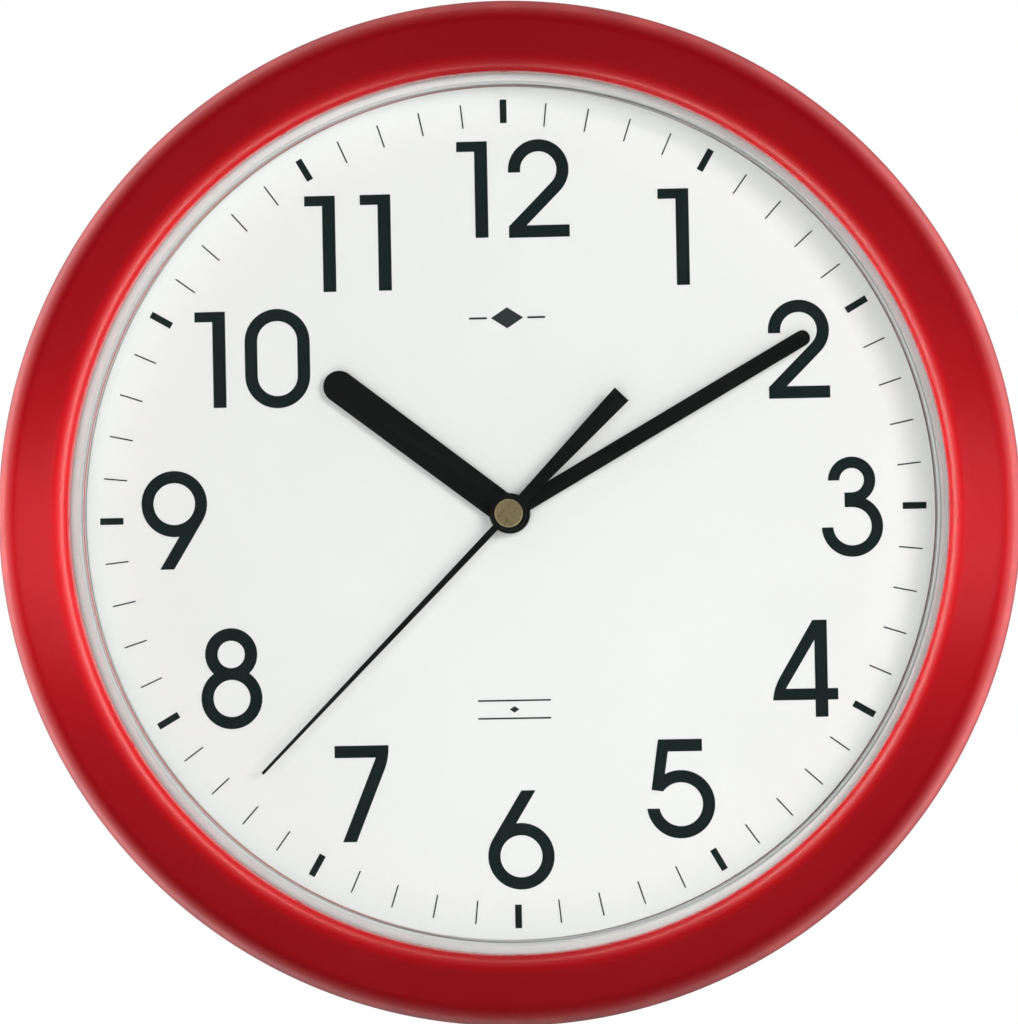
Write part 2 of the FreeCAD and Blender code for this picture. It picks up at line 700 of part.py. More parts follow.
# ---- movement case -----------------------------------------------------------------
def movement_back_case():
    box = rounded_block(MOVE_HALF, MOVE_HALF, MOVE_CORNER, MOVE_REAR_Z, LID_Z)
    room = rounded_block(INNER_HALF, INNER_HALF, MOVE_CORNER - CASE_WALL, FLOOR_Z, LID_Z)
    bay = block(-INNER_HALF, INNER_HALF, -INNER_HALF, BAY_WALL_Y - BAY_WALL_T, MOVE_REAR_Z, LID_Z)
    wall = block(-INNER_HALF, INNER_HALF - 0.6, BAY_WALL_Y - BAY_WALL_T, BAY_WALL_Y,
                 MOVE_REAR_Z, LID_Z)
    wall = wall.cut(block(-INNER_HALF, -INNER_HALF + 0.6, BAY_WALL_Y - BAY_WALL_T, BAY_WALL_Y,
                          FLOOR_Z, LID_Z))
    plate_posts = [disc(1.5, FLOOR_Z - 0.5, PLATE_Z, x, y)
                   for x in (-24.5, 24.5) for y in (-8.0, 12.5)]
    board_posts = [disc(1.2, FLOOR_Z - 0.5, BOARD_Z, x, y) for x, y in ((15.0, 24.0), (23.5, 21.5))]
    stator_posts = [block(x, x + 1.4, 16.2, 17.6, FLOOR_Z - 0.5, STATOR_Z) for x in (-23.4, 8.5)]
    nubs = [block(-2.0, 2.0, y, y + 0.7, 14.0, 15.0) for y in (-MOVE_HALF - 0.7, MOVE_HALF)]
    case = joined(box.cut(room).cut(bay), wall, *plate_posts, *board_posts, *stator_posts, *nubs)
    holes = [
        disc(SHAFT_R + RUN, PIVOT_Z, FLOOR_Z),
        disc(SHAFT_R + RUN, PIVOT_Z, FLOOR_Z, *THIRD_AXIS),
        disc(SHAFT_R + RUN, PIVOT_Z, FLOOR_Z, *FIFTH_AXIS),
        disc(ROTOR_SHAFT_R + RUN, PIVOT_Z, FLOOR_Z, *ROTOR_AXIS),
        disc(SETTING_SHAFT_R + RUN, MOVE_REAR_Z, FLOOR_Z, *SETTING_AXIS),
    ]
    for hole in holes:
        case = case.cut(hole)
    return case


def movement_front_case():
    lid = rounded_block(MOVE_HALF, MOVE_HALF, MOVE_CORNER, LID_Z, MOVE_FRONT_Z)
    neck = disc(HOUR_PIPE_R * 2 - 0.3, MOVE_FRONT_Z, SHELL_FRONT_Z)
    bush = disc(BUSH_R, SHELL_FRONT_Z, DIAL_Z + 0.3)
    tabs = []
    for side in (-1, 1):
        near = side * MOVE_HALF
        far = side * (MOVE_HALF + 0.8)
        y0 = min(near, far)
        y1 = max(near, far)
        tab = block(-4.0, 4.0, y0, y1, 12.5, MOVE_FRONT_Z)
        tabs.append(tab.cut(block(-2.3, 2.3, y0, y1, 13.8, 15.2)))
    case = joined(lid, neck, bush, *tabs)
    case = case.cut(disc(HOUR_PIPE_R + RUN, LID_Z, DIAL_Z + 0.3))
    case = case.cut(disc(SHAFT_R + RUN, LID_Z, LID_Z + 0.7, *MOTION_AXIS))
    return case.cut(disc(SHAFT_R + RUN, LID_Z, LID_Z + 0.7, *SETTING_AXIS))


def middle_plate():
    plate = rounded_block(INNER_HALF - 0.3, INNER_HALF - 0.3, MOVE_CORNER - CASE_WALL,
                          PLATE_Z, PLATE_Z + PLATE_T)
    plate = plate.common(block(-INNER_HALF, INNER_HALF - 0.7, BAY_WALL_Y + 0.2, PLATE_TOP_Y,
                               PLATE_Z, PLATE_Z + PLATE_T))
    holes = [
        (MINUTE_PIPE_R, (0.0, 0.0)),
        (SHAFT_R, THIRD_AXIS),
        (SHAFT_R, FIFTH_AXIS),
        (ROTOR_SHAFT_R, ROTOR_AXIS),
        (SHAFT_R, MOTION_AXIS),
        (SETTING_SHAFT_R, SETTING_AXIS),
    ]
    for radius, (x, y) in holes:
        plate = plate.cut(disc(radius + RUN, PLATE_Z, PLATE_Z + PLATE_T, x, y))
    return plate


# ---- power and drive ---------------------------------------------------------------


def lying(radius, x0, x1, y, z):
    """Round bar lying along x."""
    return Part.makeCylinder(radius, x1 - x0, V(x0, y, z), V(1, 0, 0))


def battery():
    rear = CELL_SHIFT - CELL_L / 2
    front = rear + CELL_L - CELL_NUB_L
    cell = joined(lying(CELL_R, rear, front, CELL_Y, CELL_Z),
                  lying(CELL_NUB_R, front - 0.5, front + CELL_NUB_L, CELL_Y, CELL_Z))
    groove = lying(CELL_R, rear + 0.8, rear + 1.3, CELL_Y, CELL_Z)
    return cell.cut(groove.cut(lying(CELL_R - 0.2, rear + 0.8, rear + 1.3, CELL_Y, CELL_Z)))


def contact_positive():
    wall = INNER_HALF
    plate = block(wall - STRIP_T, wall, CELL_Y - 5.0, CELL_Y + 5.0, 6.0, 15.0)
    run = block(wall - STRIP_T, wall, CELL_Y, 19.0, BOARD_Z + BOARD_T, BOARD_Z + BOARD_T + 1.0)
    tab = block(wall - 2.6, wall, 17.0, 19.0, BOARD_Z + BOARD_T, BOARD_Z + BOARD_T + STRIP_T)
    dimple = lying(2.2, wall - 0.8, wall - STRIP_T, CELL_Y, CELL_Z)
    return joined(plate, run, tab, dimple)


def contact_negative():
    wall = -INNER_HALF
    low = BOARD_Z + BOARD_T
    plate = block(wall, wall + STRIP_T, CELL_Y - 5.0, CELL_Y + 5.0, 6.0, 15.0)
    run = block(wall, wall + STRIP_T, CELL_Y, INNER_HALF - 2.0, low, low + 1.0)
    corner = block(wall + STRIP_T, wall + 2.2, INNER_HALF - 2.0 - STRIP_T, INNER_HALF - 2.0,
                   low, low + 1.0)
    turn = block(wall + 2.2 - STRIP_T, wall + 2.2, INNER_HALF - 2.4, INNER_HALF, low, low + 1.0)
    top = block(wall + 2.2 - STRIP_T, 20.0, INNER_HALF - STRIP_T, INNER_HALF, low, low + 1.0)
    tab = block(17.0, 20.0, INNER_HALF - 2.2, INNER_HALF, low, low + STRIP_T)
    return joined(plate, run, corner, turn, top, tab)


def contact_spring():
    """Cone-shaped coil that presses on the flat end of the cell."""
    plate_end = STRIP_T + SPRING_WIRE_R - INNER_HALF
    cell_end = CELL_SHIFT - CELL_L / 2 - 0.1 - SPRING_WIRE_R
    along_cone = (cell_end - plate_end) / math.cos(math.radians(SPRING_LEAN))
    helix = Part.makeHelix(along_cone / 2, along_cone, SPRING_R, SPRING_LEAN)
    section = Part.Wire(Part.makeCircle(SPRING_WIRE_R, V(SPRING_R, 0, 0), V(0, 1, 0)))
    coil = Part.Wire(helix).makePipeShell([section], True, True)
    coil.rotate(V(0, 0, 0), V(0, 1, 0), -90)
    coil.translate(V(cell_end, CELL_Y, CELL_Z))
    return coil


def circuit_board():
    return block(13.0, 26.0, 16.4, 26.0, BOARD_Z, BOARD_Z + BOARD_T)


def control_chip():
    low = BOARD_Z + BOARD_T
    return sheet(low, low + 1.2, (15.5, 20.4), (16.1, 19.8), (19.9, 19.8), (20.5, 20.4),
                 (20.5, 22.6), (19.9, 23.2), (16.1, 23.2), (15.5, 22.6))


def quartz_crystal():
    z = BOARD_Z + BOARD_T + 1.0
    return joined(lying(1.0, 14.2, 20.2, 17.9, z), lying(0.75, 20.2, 20.8, 17.9, z))


def stator():
    x, y = ROTOR_AXIS
    top = STATOR_Z + STATOR_T
    pieces = [
        block(x - 3.6, x + 3.6, y, 16.2, STATOR_Z, top),
        block(LEG_LEFT, LEG_RIGHT, 15.8, 18.0, STATOR_Z, top),
        block(LEG_LEFT, LEG_LEFT + LEG_W, 15.8, COIL_Y + CORE_HALF, STATOR_Z, top),
        block(LEG_RIGHT - LEG_W, LEG_RIGHT, 15.8, COIL_Y + CORE_HALF, STATOR_Z, top),
    ]
    body = joined(disc(5.0, STATOR_Z, top, x, y), *pieces)
    body = body.cut(disc(ROTOR_HOLE_R, STATOR_Z, top, x, y))
    for turn in (20, 200):
        dx, dy = polar(ROTOR_HOLE_R, math.radians(turn))
        body = body.cut(disc(0.5, STATOR_Z, top, x + dx, y + dy))
    return body


def coil_core():
    return block(LEG_LEFT, LEG_RIGHT, COIL_Y - CORE_HALF, COIL_Y + CORE_HALF, CORE_Z, CORE_Z + CORE_T)


def tube(grow, x0, x1):
    """Box round the core, bigger by the given amount each way."""
    half = CORE_HALF + grow
    return block(x0, x1, COIL_Y - half, COIL_Y + half, CORE_Z - grow, CORE_Z + CORE_T + grow)


def coil_bobbin():
    flange = 2.6
    body = joined(tube(CORE_FIT + TUBE_WALL, COIL_LEFT, COIL_RIGHT),
                  tube(flange, COIL_LEFT, COIL_LEFT + 1.0),
                  tube(flange, COIL_RIGHT - 1.0, COIL_RIGHT))
    return body.cut(tube(CORE_FIT, COIL_LEFT, COIL_RIGHT))


def coil_winding():
    left = COIL_LEFT + 1.0
    right = COIL_RIGHT - 1.0
    z = CORE_Z + CORE_T / 2
    outside = Part.makeBox(right - left, 6.0, 5.0, V(left, COIL_Y - 3.0, z - 2.5))
    long_edges = [e for e in outside.Edges if abs(e.tangentAt(e.FirstParameter).x) > 0.9]
    outside = outside.makeFillet(1.2, long_edges)
    return outside.cut(tube(CORE_FIT + TUBE_WALL, left, right))


# ---- wheels ------------------------------------------------------------------------
def arbor(radius, low, high, axis):
    return disc(radius, low, high, *axis)


def rotor():
    x, y = ROTOR_AXIS
    pinion = gear(ROTOR_TEETH, ROTOR_MODULE, PINION_ADD, LOW_WHEELS_Z - 0.2, MAGNET_Z - 0.2,
                  x, y, ROTOR_PHASE)
    return joined(pinion, arbor(ROTOR_SHAFT_R, PIVOT_Z + PIVOT_PLAY, PLATE_Z + 0.6, ROTOR_AXIS),
                  disc(0.9, MAGNET_Z - 0.2, MAGNET_Z, x, y))


def rotor_magnet():
    return pipe(MAGNET_R, ROTOR_SHAFT_R + PRESS, MAGNET_Z, MAGNET_Z + MAGNET_TALL, *ROTOR_AXIS)


def fifth_wheel():
    x, y = FIFTH_AXIS
    wheel = gear(FIFTH_TEETH, ROTOR_MODULE, WHEEL_ADD, LOW_WHEELS_Z, LOW_WHEELS_Z + WHEEL_T,
                 x, y, FIFTH_PHASE)
    for hole in windows(5, 1.3, 4.0, LOW_WHEELS_Z, LOW_WHEELS_Z + WHEEL_T, x, y):
        wheel = wheel.cut(hole)
    pinion = gear(FIFTH_PINION_TEETH, SECOND_MODULE, PINION_ADD, FIFTH_PINION_Z, LOW_WHEELS_Z,
                  x, y, FIFTH_PHASE)
    return joined(wheel, pinion, arbor(SHAFT_R, PIVOT_Z + PIVOT_PLAY, PLATE_Z + 0.6, FIFTH_AXIS))


def second_wheel():
    wheel = gear(SECOND_TEETH, SECOND_MODULE, WHEEL_ADD, SECOND_WHEEL_Z, SECOND_WHEEL_Z + WHEEL_T)
    for hole in windows(5, 1.8, 5.2, SECOND_WHEEL_Z, SECOND_WHEEL_Z + WHEEL_T, 0, 0):
        wheel = wheel.cut(hole)
    pinion = gear(SECOND_PINION_TEETH, THIRD_MODULE, PINION_ADD, SECOND_PINION_Z, THIRD_PINION_Z + 0.4)
    bore = disc(SHAFT_R + PRESS, SECOND_WHEEL_Z, THIRD_PINION_Z + 0.4)
    return joined(wheel, pinion).cut(bore)


def second_arbor():
    return disc(SHAFT_R, PIVOT_Z + PIVOT_PLAY, SECOND_HAND_Z + HAND_T / 2)


def third_wheel():
    x, y = THIRD_AXIS
    wheel = gear(THIRD_TEETH, THIRD_MODULE, WHEEL_ADD, LOW_WHEELS_Z, LOW_WHEELS_Z + WHEEL_T,
                 x, y, THIRD_PHASE)
    for hole in windows(5, 1.9, 5.4, LOW_WHEELS_Z, LOW_WHEELS_Z + WHEEL_T, x, y):
        wheel = wheel.cut(hole)
    pinion = gear(THIRD_PINION_TEETH, CENTER_MODULE, PINION_ADD, THIRD_PINION_Z, PLATE_Z - 0.8,
                  x, y, THIRD_PHASE)
    return joined(wheel, pinion, arbor(SHAFT_R, PIVOT_Z + PIVOT_PLAY, PLATE_Z + 0.6, THIRD_AXIS))


def center_wheel():
    top = CENTER_WHEEL_Z + WHEEL_T
    wheel = gear(CENTER_TEETH, CENTER_MODULE, WHEEL_ADD, CENTER_WHEEL_Z, top, 0, 0, CENTER_PHASE)
    for hole in windows(5, 1.9, 5.8, CENTER_WHEEL_Z, top, 0, 0):
        wheel = wheel.cut(hole)
    wheel = joined(wheel, disc(3.0, top, top + 0.9))
    wheel = wheel.cut(disc(MINUTE_PIPE_R + PRESS, CENTER_WHEEL_Z, top + 0.9))
    for index in range(3):
        slot = spun(block(0.0, 3.2, -0.25, 0.25, top, top + 0.9), 120 * index)
        wheel = wheel.cut(slot)
    return wheel


def minute_pipe():
    low = CENTER_WHEEL_Z - 0.3
    high = MINUTE_HAND_Z + HAND_T + 0.2
    lower = disc(MINUTE_PIPE_R, low, CANNON_Z)
    pinion = gear(CANNON_TEETH, MOTION_MODULE, PINION_ADD, CANNON_Z, CANNON_Z + CANNON_TALL,
                  0, 0, CENTER_PHASE)
    upper = disc(MINUTE_PIPE_R, CANNON_Z + CANNON_TALL, high)
    return joined(lower, pinion, upper).cut(disc(SHAFT_R + RUN, low, high))


def motion_wheel():
    x, y = MOTION_AXIS
    wheel = gear(MOTION_TEETH, MOTION_MODULE, WHEEL_ADD, MOTION_WHEEL_Z, MOTION_PINION_Z,
                 x, y, MOTION_PHASE)
    pinion = gear(MOTION_PINION_TEETH, HOUR_MODULE, PINION_ADD, MOTION_PINION_Z,
                  HOUR_WHEEL_Z + WHEEL_T + 0.3, x, y, MOTION_PHASE)
    return joined(wheel, pinion, arbor(SHAFT_R, PLATE_Z + 0.1, LID_Z + 0.6, MOTION_AXIS))


def hour_wheel():
    top = HOUR_HAND_Z + HAND_T + 0.2
    low = HOUR_WHEEL_Z - 0.3
    wheel = gear(HOUR_TEETH, HOUR_MODULE, WHEEL_ADD, HOUR_WHEEL_Z, HOUR_WHEEL_Z + WHEEL_T,
                 0, 0, HOUR_PHASE)
    return joined(wheel, disc(HOUR_PIPE_R, low, top)).cut(disc(MINUTE_PIPE_R + RUN, low, top))


def setting_shaft():
    x, y = SETTING_AXIS
    pinion = gear(SETTING_TEETH, MOTION_MODULE, PINION_ADD, CANNON_Z, CANNON_Z + CANNON_TALL,
                  x, y, SETTING_PHASE)
    return joined(arbor(SETTING_SHAFT_R, 2.2, CANNON_Z, SETTING_AXIS), pinion,
                  arbor(SHAFT_R, CANNON_Z, LID_Z + 0.6, SETTING_AXIS))


def setting_knob():
    x, y = SETTING_AXIS
    low = 1.2
    high = MOVE_REAR_Z - 0.3
    knob = disc(5.0, low, high, x, y)
    for index in range(18):
        nx, ny = polar(5.15, 2 * math.pi * index / 18)
        knob = knob.cut(disc(0.45, low, high, x + nx, y + ny))
    return knob.cut(disc(SETTING_SHAFT_R + PRESS, 2.1, high, x, y))


# ---- hands -------------------------------------------------------------------------
def blade(length, root_w, tip_w, low):
    """Round-ended blade pointing at twelve."""
    tip_r = tip_w / 2
    shoulder = length - tip_r
    return sheet(low, low + HAND_T, (root_w / 2, 0.0), (tip_r, shoulder),
                 ((0.0, length), (-tip_r, shoulder)), (-root_w / 2, 0.0))


def hand(shape, hub_r, collar_r, collar_l, bore_r, low, angle):
    """Blade with its hub disc and the collar that grips the pipe."""
    whole = joined(shape, disc(hub_r, low, low + HAND_T), disc(collar_r, low - collar_l, low))
    whole = whole.cut(disc(bore_r + PRESS, low - collar_l, low + HAND_T))
    return spun(whole, -angle)


def hour_hand():
    shape = blade(HOUR_HAND_L, HOUR_HAND_ROOT_W, HOUR_HAND_W, HOUR_HAND_Z)
    return hand(shape, HAND_HUB_R, 3.6, 1.1, HOUR_PIPE_R, HOUR_HAND_Z, HOUR_ANGLE)


def minute_hand():
    shape = blade(MINUTE_HAND_L, MINUTE_HAND_W, MINUTE_HAND_W, MINUTE_HAND_Z)
    return hand(shape, HAND_HUB_R, 2.7, 0.8, MINUTE_PIPE_R, MINUTE_HAND_Z, MINUTE_ANGLE)


def second_hand():
    low = SECOND_HAND_Z
    shape = sheet(low, low + HAND_T,
                  (SECOND_ROOT_W / 2, 0.0), (SECOND_TIP_W / 2, SECOND_HAND_L),
                  (-SECOND_TIP_W / 2, SECOND_HAND_L), (-SECOND_ROOT_W / 2, 0.0),
                  (-SECOND_TAIL_ROOT_W / 2, 0.0), (-SECOND_TAIL_W / 2, -SECOND_TAIL_L),
                  (SECOND_TAIL_W / 2, -SECOND_TAIL_L), (SECOND_TAIL_ROOT_W / 2, 0.0))
    return hand(shape, SECOND_HUB_R, 1.5, 0.8, SHAFT_R, low, SECOND_ANGLE)


def second_hand_cap():
    low = SECOND_HAND_Z + HAND_T
    high = low + CAP_T
    return turned((0.0, low), (CAP_R, low), (CAP_R, high - 0.4),
                  quarter(CAP_R - 0.4, high - 0.4, 0.4, 0, 90), (0.0, high))


def main():
    os.makedirs("parts", exist_ok=True)
    save("bezel", bezel())
    save("lens", lens())
    save("back_shell", back_shell())
    save("bezel_screws", *bezel_screws())
    save("dial", dial())
    save("dial_numerals", *dial_numerals())
    save("dial_ticks", *dial_ticks())
    save("dial_ornaments", *dial_ornaments())
    save("movement_back_case", movement_back_case())
    save("movement_front_case", movement_front_case())
    save("middle_plate", middle_plate())
    save("battery", battery())
    save("contact_positive", contact_positive())
    save("contact_negative", contact_negative())
    save("contact_spring", contact_spring())
    save("circuit_board", circuit_board())
    save("control_chip", control_chip())
    save("quartz_crystal", quartz_crystal())
    save("stator", stator())
    save("coil_core", coil_core())
    save("coil_bobbin", coil_bobbin())
    save("coil_winding", coil_winding())
    save("rotor", rotor())
    save("rotor_magnet", rotor_magnet())
    save("fifth_wheel", fifth_wheel())
    save("second_wheel", second_wheel())
    save("second_arbor", second_arbor())
    save("third_wheel", third_wheel())
    save("center_wheel", center_wheel())
    save("minute_pipe", minute_pipe())
    save("motion_wheel", motion_wheel())
    save("hour_wheel", hour_wheel())
    save("setting_shaft", setting_shaft())
    save("setting_knob", setting_knob())
    save("hour_hand", hour_hand())
    save("minute_hand", minute_hand())
    save("second_hand", second_hand())
    save("second_hand_cap", second_hand_cap())


main()
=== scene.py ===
# %% [markdown]
# # A round wall clock in red plastic
# The clock is a moulded red ring with a clear lens in it, a white shell behind, a
# printed dial, three black hands and a battery movement.  Its exact shapes come
# from the imported model, which every other step builds on, so we load it first.

# %% Load the frame
import math

import bmesh
import bpy
from mathutils import Matrix, Vector


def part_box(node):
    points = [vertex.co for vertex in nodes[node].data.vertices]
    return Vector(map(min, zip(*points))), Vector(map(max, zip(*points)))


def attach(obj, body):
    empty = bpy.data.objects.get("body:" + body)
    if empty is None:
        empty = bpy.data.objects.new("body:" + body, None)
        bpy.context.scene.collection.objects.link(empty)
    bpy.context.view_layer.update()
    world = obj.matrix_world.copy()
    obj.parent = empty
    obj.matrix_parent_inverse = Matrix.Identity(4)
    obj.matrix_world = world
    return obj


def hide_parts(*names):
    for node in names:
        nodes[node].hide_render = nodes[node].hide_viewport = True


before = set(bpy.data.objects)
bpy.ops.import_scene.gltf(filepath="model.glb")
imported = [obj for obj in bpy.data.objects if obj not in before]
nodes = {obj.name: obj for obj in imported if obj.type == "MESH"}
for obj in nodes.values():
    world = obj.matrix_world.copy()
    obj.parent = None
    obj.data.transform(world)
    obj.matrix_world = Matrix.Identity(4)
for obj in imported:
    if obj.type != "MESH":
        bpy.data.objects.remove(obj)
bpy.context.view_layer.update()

# %% [markdown]
# ## Lengths
# A maker thinks of this clock in millimetres and measures depth out of the wall.
# Blender works in metres with the face looking along -Y.  One helper turns a radius
# and a depth into a point, so every profile below reads like a section drawing.

# %% Units and the section helper
MM = 0.001


def on_section(radius, depth):
    return Vector((radius * MM, -depth * MM, 0.0))


def ring_of(node):
    """Outer radius and the two depths of a round node, in millimetres."""
    low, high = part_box(node)
    return high.x / MM, -high.y / MM, -low.y / MM


BEZEL_R, BEZEL_REAR, CREST = ring_of("bezel")
LENS_R, LENS_REAR, LENS_CROWN = ring_of("lens")
CAP_R, CAP_REAR, CAP_FRONT = ring_of("second_hand_cap")
print("bezel radius", round(BEZEL_R, 2), "crest", round(CREST, 2), "lens", round(LENS_R, 2))

# %% [markdown]
# ## Turning a section into a body
# The ring, the lens, the cap and the cell are all round.  They could be drawn as
# cylinders and bevelled afterwards, but a lathe is closer to how their moulds are
# cut.  We draw half of a section as one face, round its corners with the bevel
# operator, split its long lines so that the shading stays flat where the section is
# straight, and spin the outline a full turn.

# %% Lathe helpers
def draw_section(bm, corners):
    points = [bm.verts.new(on_section(radius, depth)) for radius, depth in corners]
    return bm.faces.new(points)


def round_corner(bm, radius, depth, rounding, segments=12):
    place = on_section(radius, depth)
    corner = min(bm.verts, key=lambda v: (v.co - place).length)
    bmesh.ops.bevel(bm, geom=[corner], affect="VERTICES", offset=rounding * MM,
                    offset_type="OFFSET", segments=segments, profile=0.5, material=-1)


def split_long_lines(bm, longest, cuts):
    bmesh.ops.delete(bm, geom=list(bm.faces), context="FACES_ONLY")
    lines = [e for e in bm.edges if e.calc_length() > longest * MM]
    bmesh.ops.subdivide_edges(bm, edges=lines, cuts=cuts)


def spin_section(bm, steps):
    if bm.faces:
        bmesh.ops.delete(bm, geom=list(bm.faces), context="FACES_ONLY")
    bmesh.ops.remove_doubles(bm, verts=list(bm.verts), dist=0.004 * MM)
    on_axis = [e for e in bm.edges if max(abs(v.co.x) for v in e.verts) < 1e-7]
    bmesh.ops.delete(bm, geom=on_axis, context="EDGES")
    bmesh.ops.spin(bm, geom=list(bm.verts) + list(bm.edges), cent=(0, 0, 0), axis=(0, 1, 0),
                   dvec=(0, 0, 0), angle=math.tau, steps=steps, use_merge=True,
                   use_duplicate=False)
    bmesh.ops.remove_doubles(bm, verts=list(bm.verts), dist=0.002 * MM)
    face_outwards(bm)


def face_outwards(bm):
    bmesh.ops.recalc_face_normals(bm, faces=list(bm.faces))
    if bm.calc_volume(signed=True) < 0:
        bmesh.ops.reverse_faces(bm, faces=list(bm.faces))


def finished(name, bm, sharp=35):
    """Mesh object from a bmesh, smooth shaded up to the sharp angle in degrees."""
    mesh = bpy.data.meshes.new(name)
    bm.to_mesh(mesh)
    bm.free()
    for face in mesh.polygons:
        face.use_smooth = True
    mesh.set_sharp_from_angle(angle=math.radians(sharp))
    piece = bpy.data.objects.new(name, mesh)
    bpy.context.scene.collection.objects.link(piece)
    print(name, len(mesh.polygons), "faces")
    return piece


# %% [markdown]
# ## The red bezel
# This is the part people see: a hollow ring moulded in glossy red plastic, with a
# flat crown, a generous rounding outside and a smaller one at the opening.  Hidden
# inside stand four posts that take the screws.  The roundings carry all the
# reflections, so they are made by the bevel operator on the section, not by shading.

# %% Bezel ring
WALL = 2.2
OUTER_ROUND = 5.4
INNER_ROUND = 4.6
BAND = 17.5
DRAFT = 1.0
LIP_DEPTH = 7.5
RIM_SOFT = 0.35
LIP_SOFT = 0.3
RING_STEPS = 288
opening_r = BEZEL_R - BAND
rim_r = BEZEL_R - DRAFT
lip = CREST - LIP_DEPTH
inside_crest = CREST - WALL

bm = bmesh.new()
draw_section(bm, [
    (rim_r, BEZEL_REAR), (BEZEL_R, CREST - OUTER_ROUND), (BEZEL_R, CREST), (opening_r, CREST),
    (opening_r, lip), (opening_r + WALL, lip), (opening_r + WALL, inside_crest),
    (BEZEL_R - WALL, inside_crest), (BEZEL_R - WALL, CREST - OUTER_ROUND),
    (rim_r - WALL, BEZEL_REAR),
])
round_corner(bm, BEZEL_R, CREST, OUTER_ROUND * 0.999, 16)
round_corner(bm, opening_r, CREST, INNER_ROUND, 16)
round_corner(bm, BEZEL_R - WALL, inside_crest, OUTER_ROUND - WALL, 6)
round_corner(bm, opening_r + WALL, inside_crest, INNER_ROUND - WALL, 6)
round_corner(bm, rim_r, BEZEL_REAR, RIM_SOFT, 3)
round_corner(bm, rim_r - WALL, BEZEL_REAR, RIM_SOFT, 3)
round_corner(bm, opening_r, lip, LIP_SOFT, 3)
split_long_lines(bm, 3.0, 5)
spin_section(bm, RING_STEPS)

# %% Screw posts behind the crown
POST_R = 3.5
POST_HOLE_R = 1.27
POST_REAR = 21.2
POST_HOLE_DEPTH = 12.5
POST_GAP = 0.5
POST_CIRCLE = LENS_R + POST_GAP + POST_R
post = bmesh.new()
draw_section(post, [
    (0, CREST - WALL / 2), (POST_R, CREST - WALL / 2), (POST_R, POST_REAR),
    (POST_HOLE_R, POST_REAR), (POST_HOLE_R, POST_REAR + POST_HOLE_DEPTH),
    (0, POST_REAR + POST_HOLE_DEPTH),
])
spin_section(post, 32)
post_mesh = bpy.data.meshes.new("post")
post.to_mesh(post_mesh)
post.free()
for quarter_turn in range(4):
    angle = math.radians(45 + 90 * quarter_turn)
    place = Vector((math.cos(angle), 0, math.sin(angle))) * POST_CIRCLE * MM
    before = set(bm.verts)
    bm.from_mesh(post_mesh)
    bmesh.ops.translate(bm, verts=[v for v in bm.verts if v not in before], vec=place)
bpy.data.meshes.remove(post_mesh)

bezel_ring = finished("bezel_ring", bm, sharp=40)
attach(bezel_ring, "case")
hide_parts("bezel")

# %% [markdown]
# ## The clear lens
# A thin clear moulding closes the front: a flat flange held under the red lip, a
# small ring-shaped step and then a shallow dome.  It is turned as well.  The two
# dome lines start straight; each of their points is then pushed onto a sphere.

# %% Lens
LENS_T = 1.5
SEAT_GAP = 0.03
STEP_IN = 2.55
STEP_H = 0.8
STEP_LEAN = 0.4
STEP_SHIFT = 0.7
STEP_FOOT = 0.3
LENS_STEPS = 192
step_r = opening_r - STEP_IN
front_r = step_r - STEP_LEAN
inner_r = step_r - STEP_SHIFT
step_top = lip + STEP_H
lens_rise = LENS_CROWN - step_top


def push_to_dome(bm, radius, base, rise):
    """Moves the points of one straight dome line onto its sphere."""
    sphere = (radius ** 2 + rise ** 2) / (2 * rise)
    for v in bm.verts:
        here = v.co.x / MM
        straight = base + rise * (1 - here / radius)
        if here < radius and abs(-v.co.y / MM - straight) < 0.01:
            v.co.y = -(base + rise - sphere + math.sqrt(sphere ** 2 - here ** 2)) * MM


bm = bmesh.new()
draw_section(bm, [
    (0, LENS_CROWN), (0, LENS_CROWN - LENS_T), (inner_r, step_top - LENS_T),
    (step_r - STEP_FOOT, LENS_REAR + SEAT_GAP), (LENS_R, LENS_REAR + SEAT_GAP),
    (LENS_R, lip - SEAT_GAP), (step_r, lip - SEAT_GAP),
    (front_r, step_top),
])
round_corner(bm, front_r, step_top, 0.25, 3)
round_corner(bm, step_r, lip - SEAT_GAP, 0.15, 2)
split_long_lines(bm, 50.0, 40)
push_to_dome(bm, front_r, step_top, lens_rise)
push_to_dome(bm, inner_r, step_top - LENS_T, lens_rise)
spin_section(bm, LENS_STEPS)
clear_lens = finished("clear_lens", bm, sharp=25)
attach(clear_lens, "case")
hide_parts("lens")

# %% [markdown]
# ## The turned cap
# A small brass button is pressed on the second hand's hub.  It is a lathe part with
# a softened edge and a face that was skimmed by the tool, so it is turned here too.
# The fine tool marks come with its finish.

# %% Second hand cap
bm = bmesh.new()
draw_section(bm, [(0, CAP_REAR), (CAP_R, CAP_REAR), (CAP_R, CAP_FRONT), (0, CAP_FRONT)])
round_corner(bm, CAP_R, CAP_FRONT, 0.3, 5)
round_corner(bm, CAP_R, CAP_REAR, 0.1, 2)
split_long_lines(bm, 1.5, 6)
spin_section(bm, 64)
turned_cap = finished("turned_cap", bm)
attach(turned_cap, "second")
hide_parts("second_hand_cap")

# %% [markdown]
# ## The hands
# Real hands are stamped from thin sheet and painted, which leaves a fine rolled edge
# that catches light.  The stamped outline is already exact in the model, so each
# hand is a merged copy of its node with its outer edges bevelled by a few
# hundredths of a millimetre.

# %% Hands with a soft edge
EDGE_SOFT = 0.09


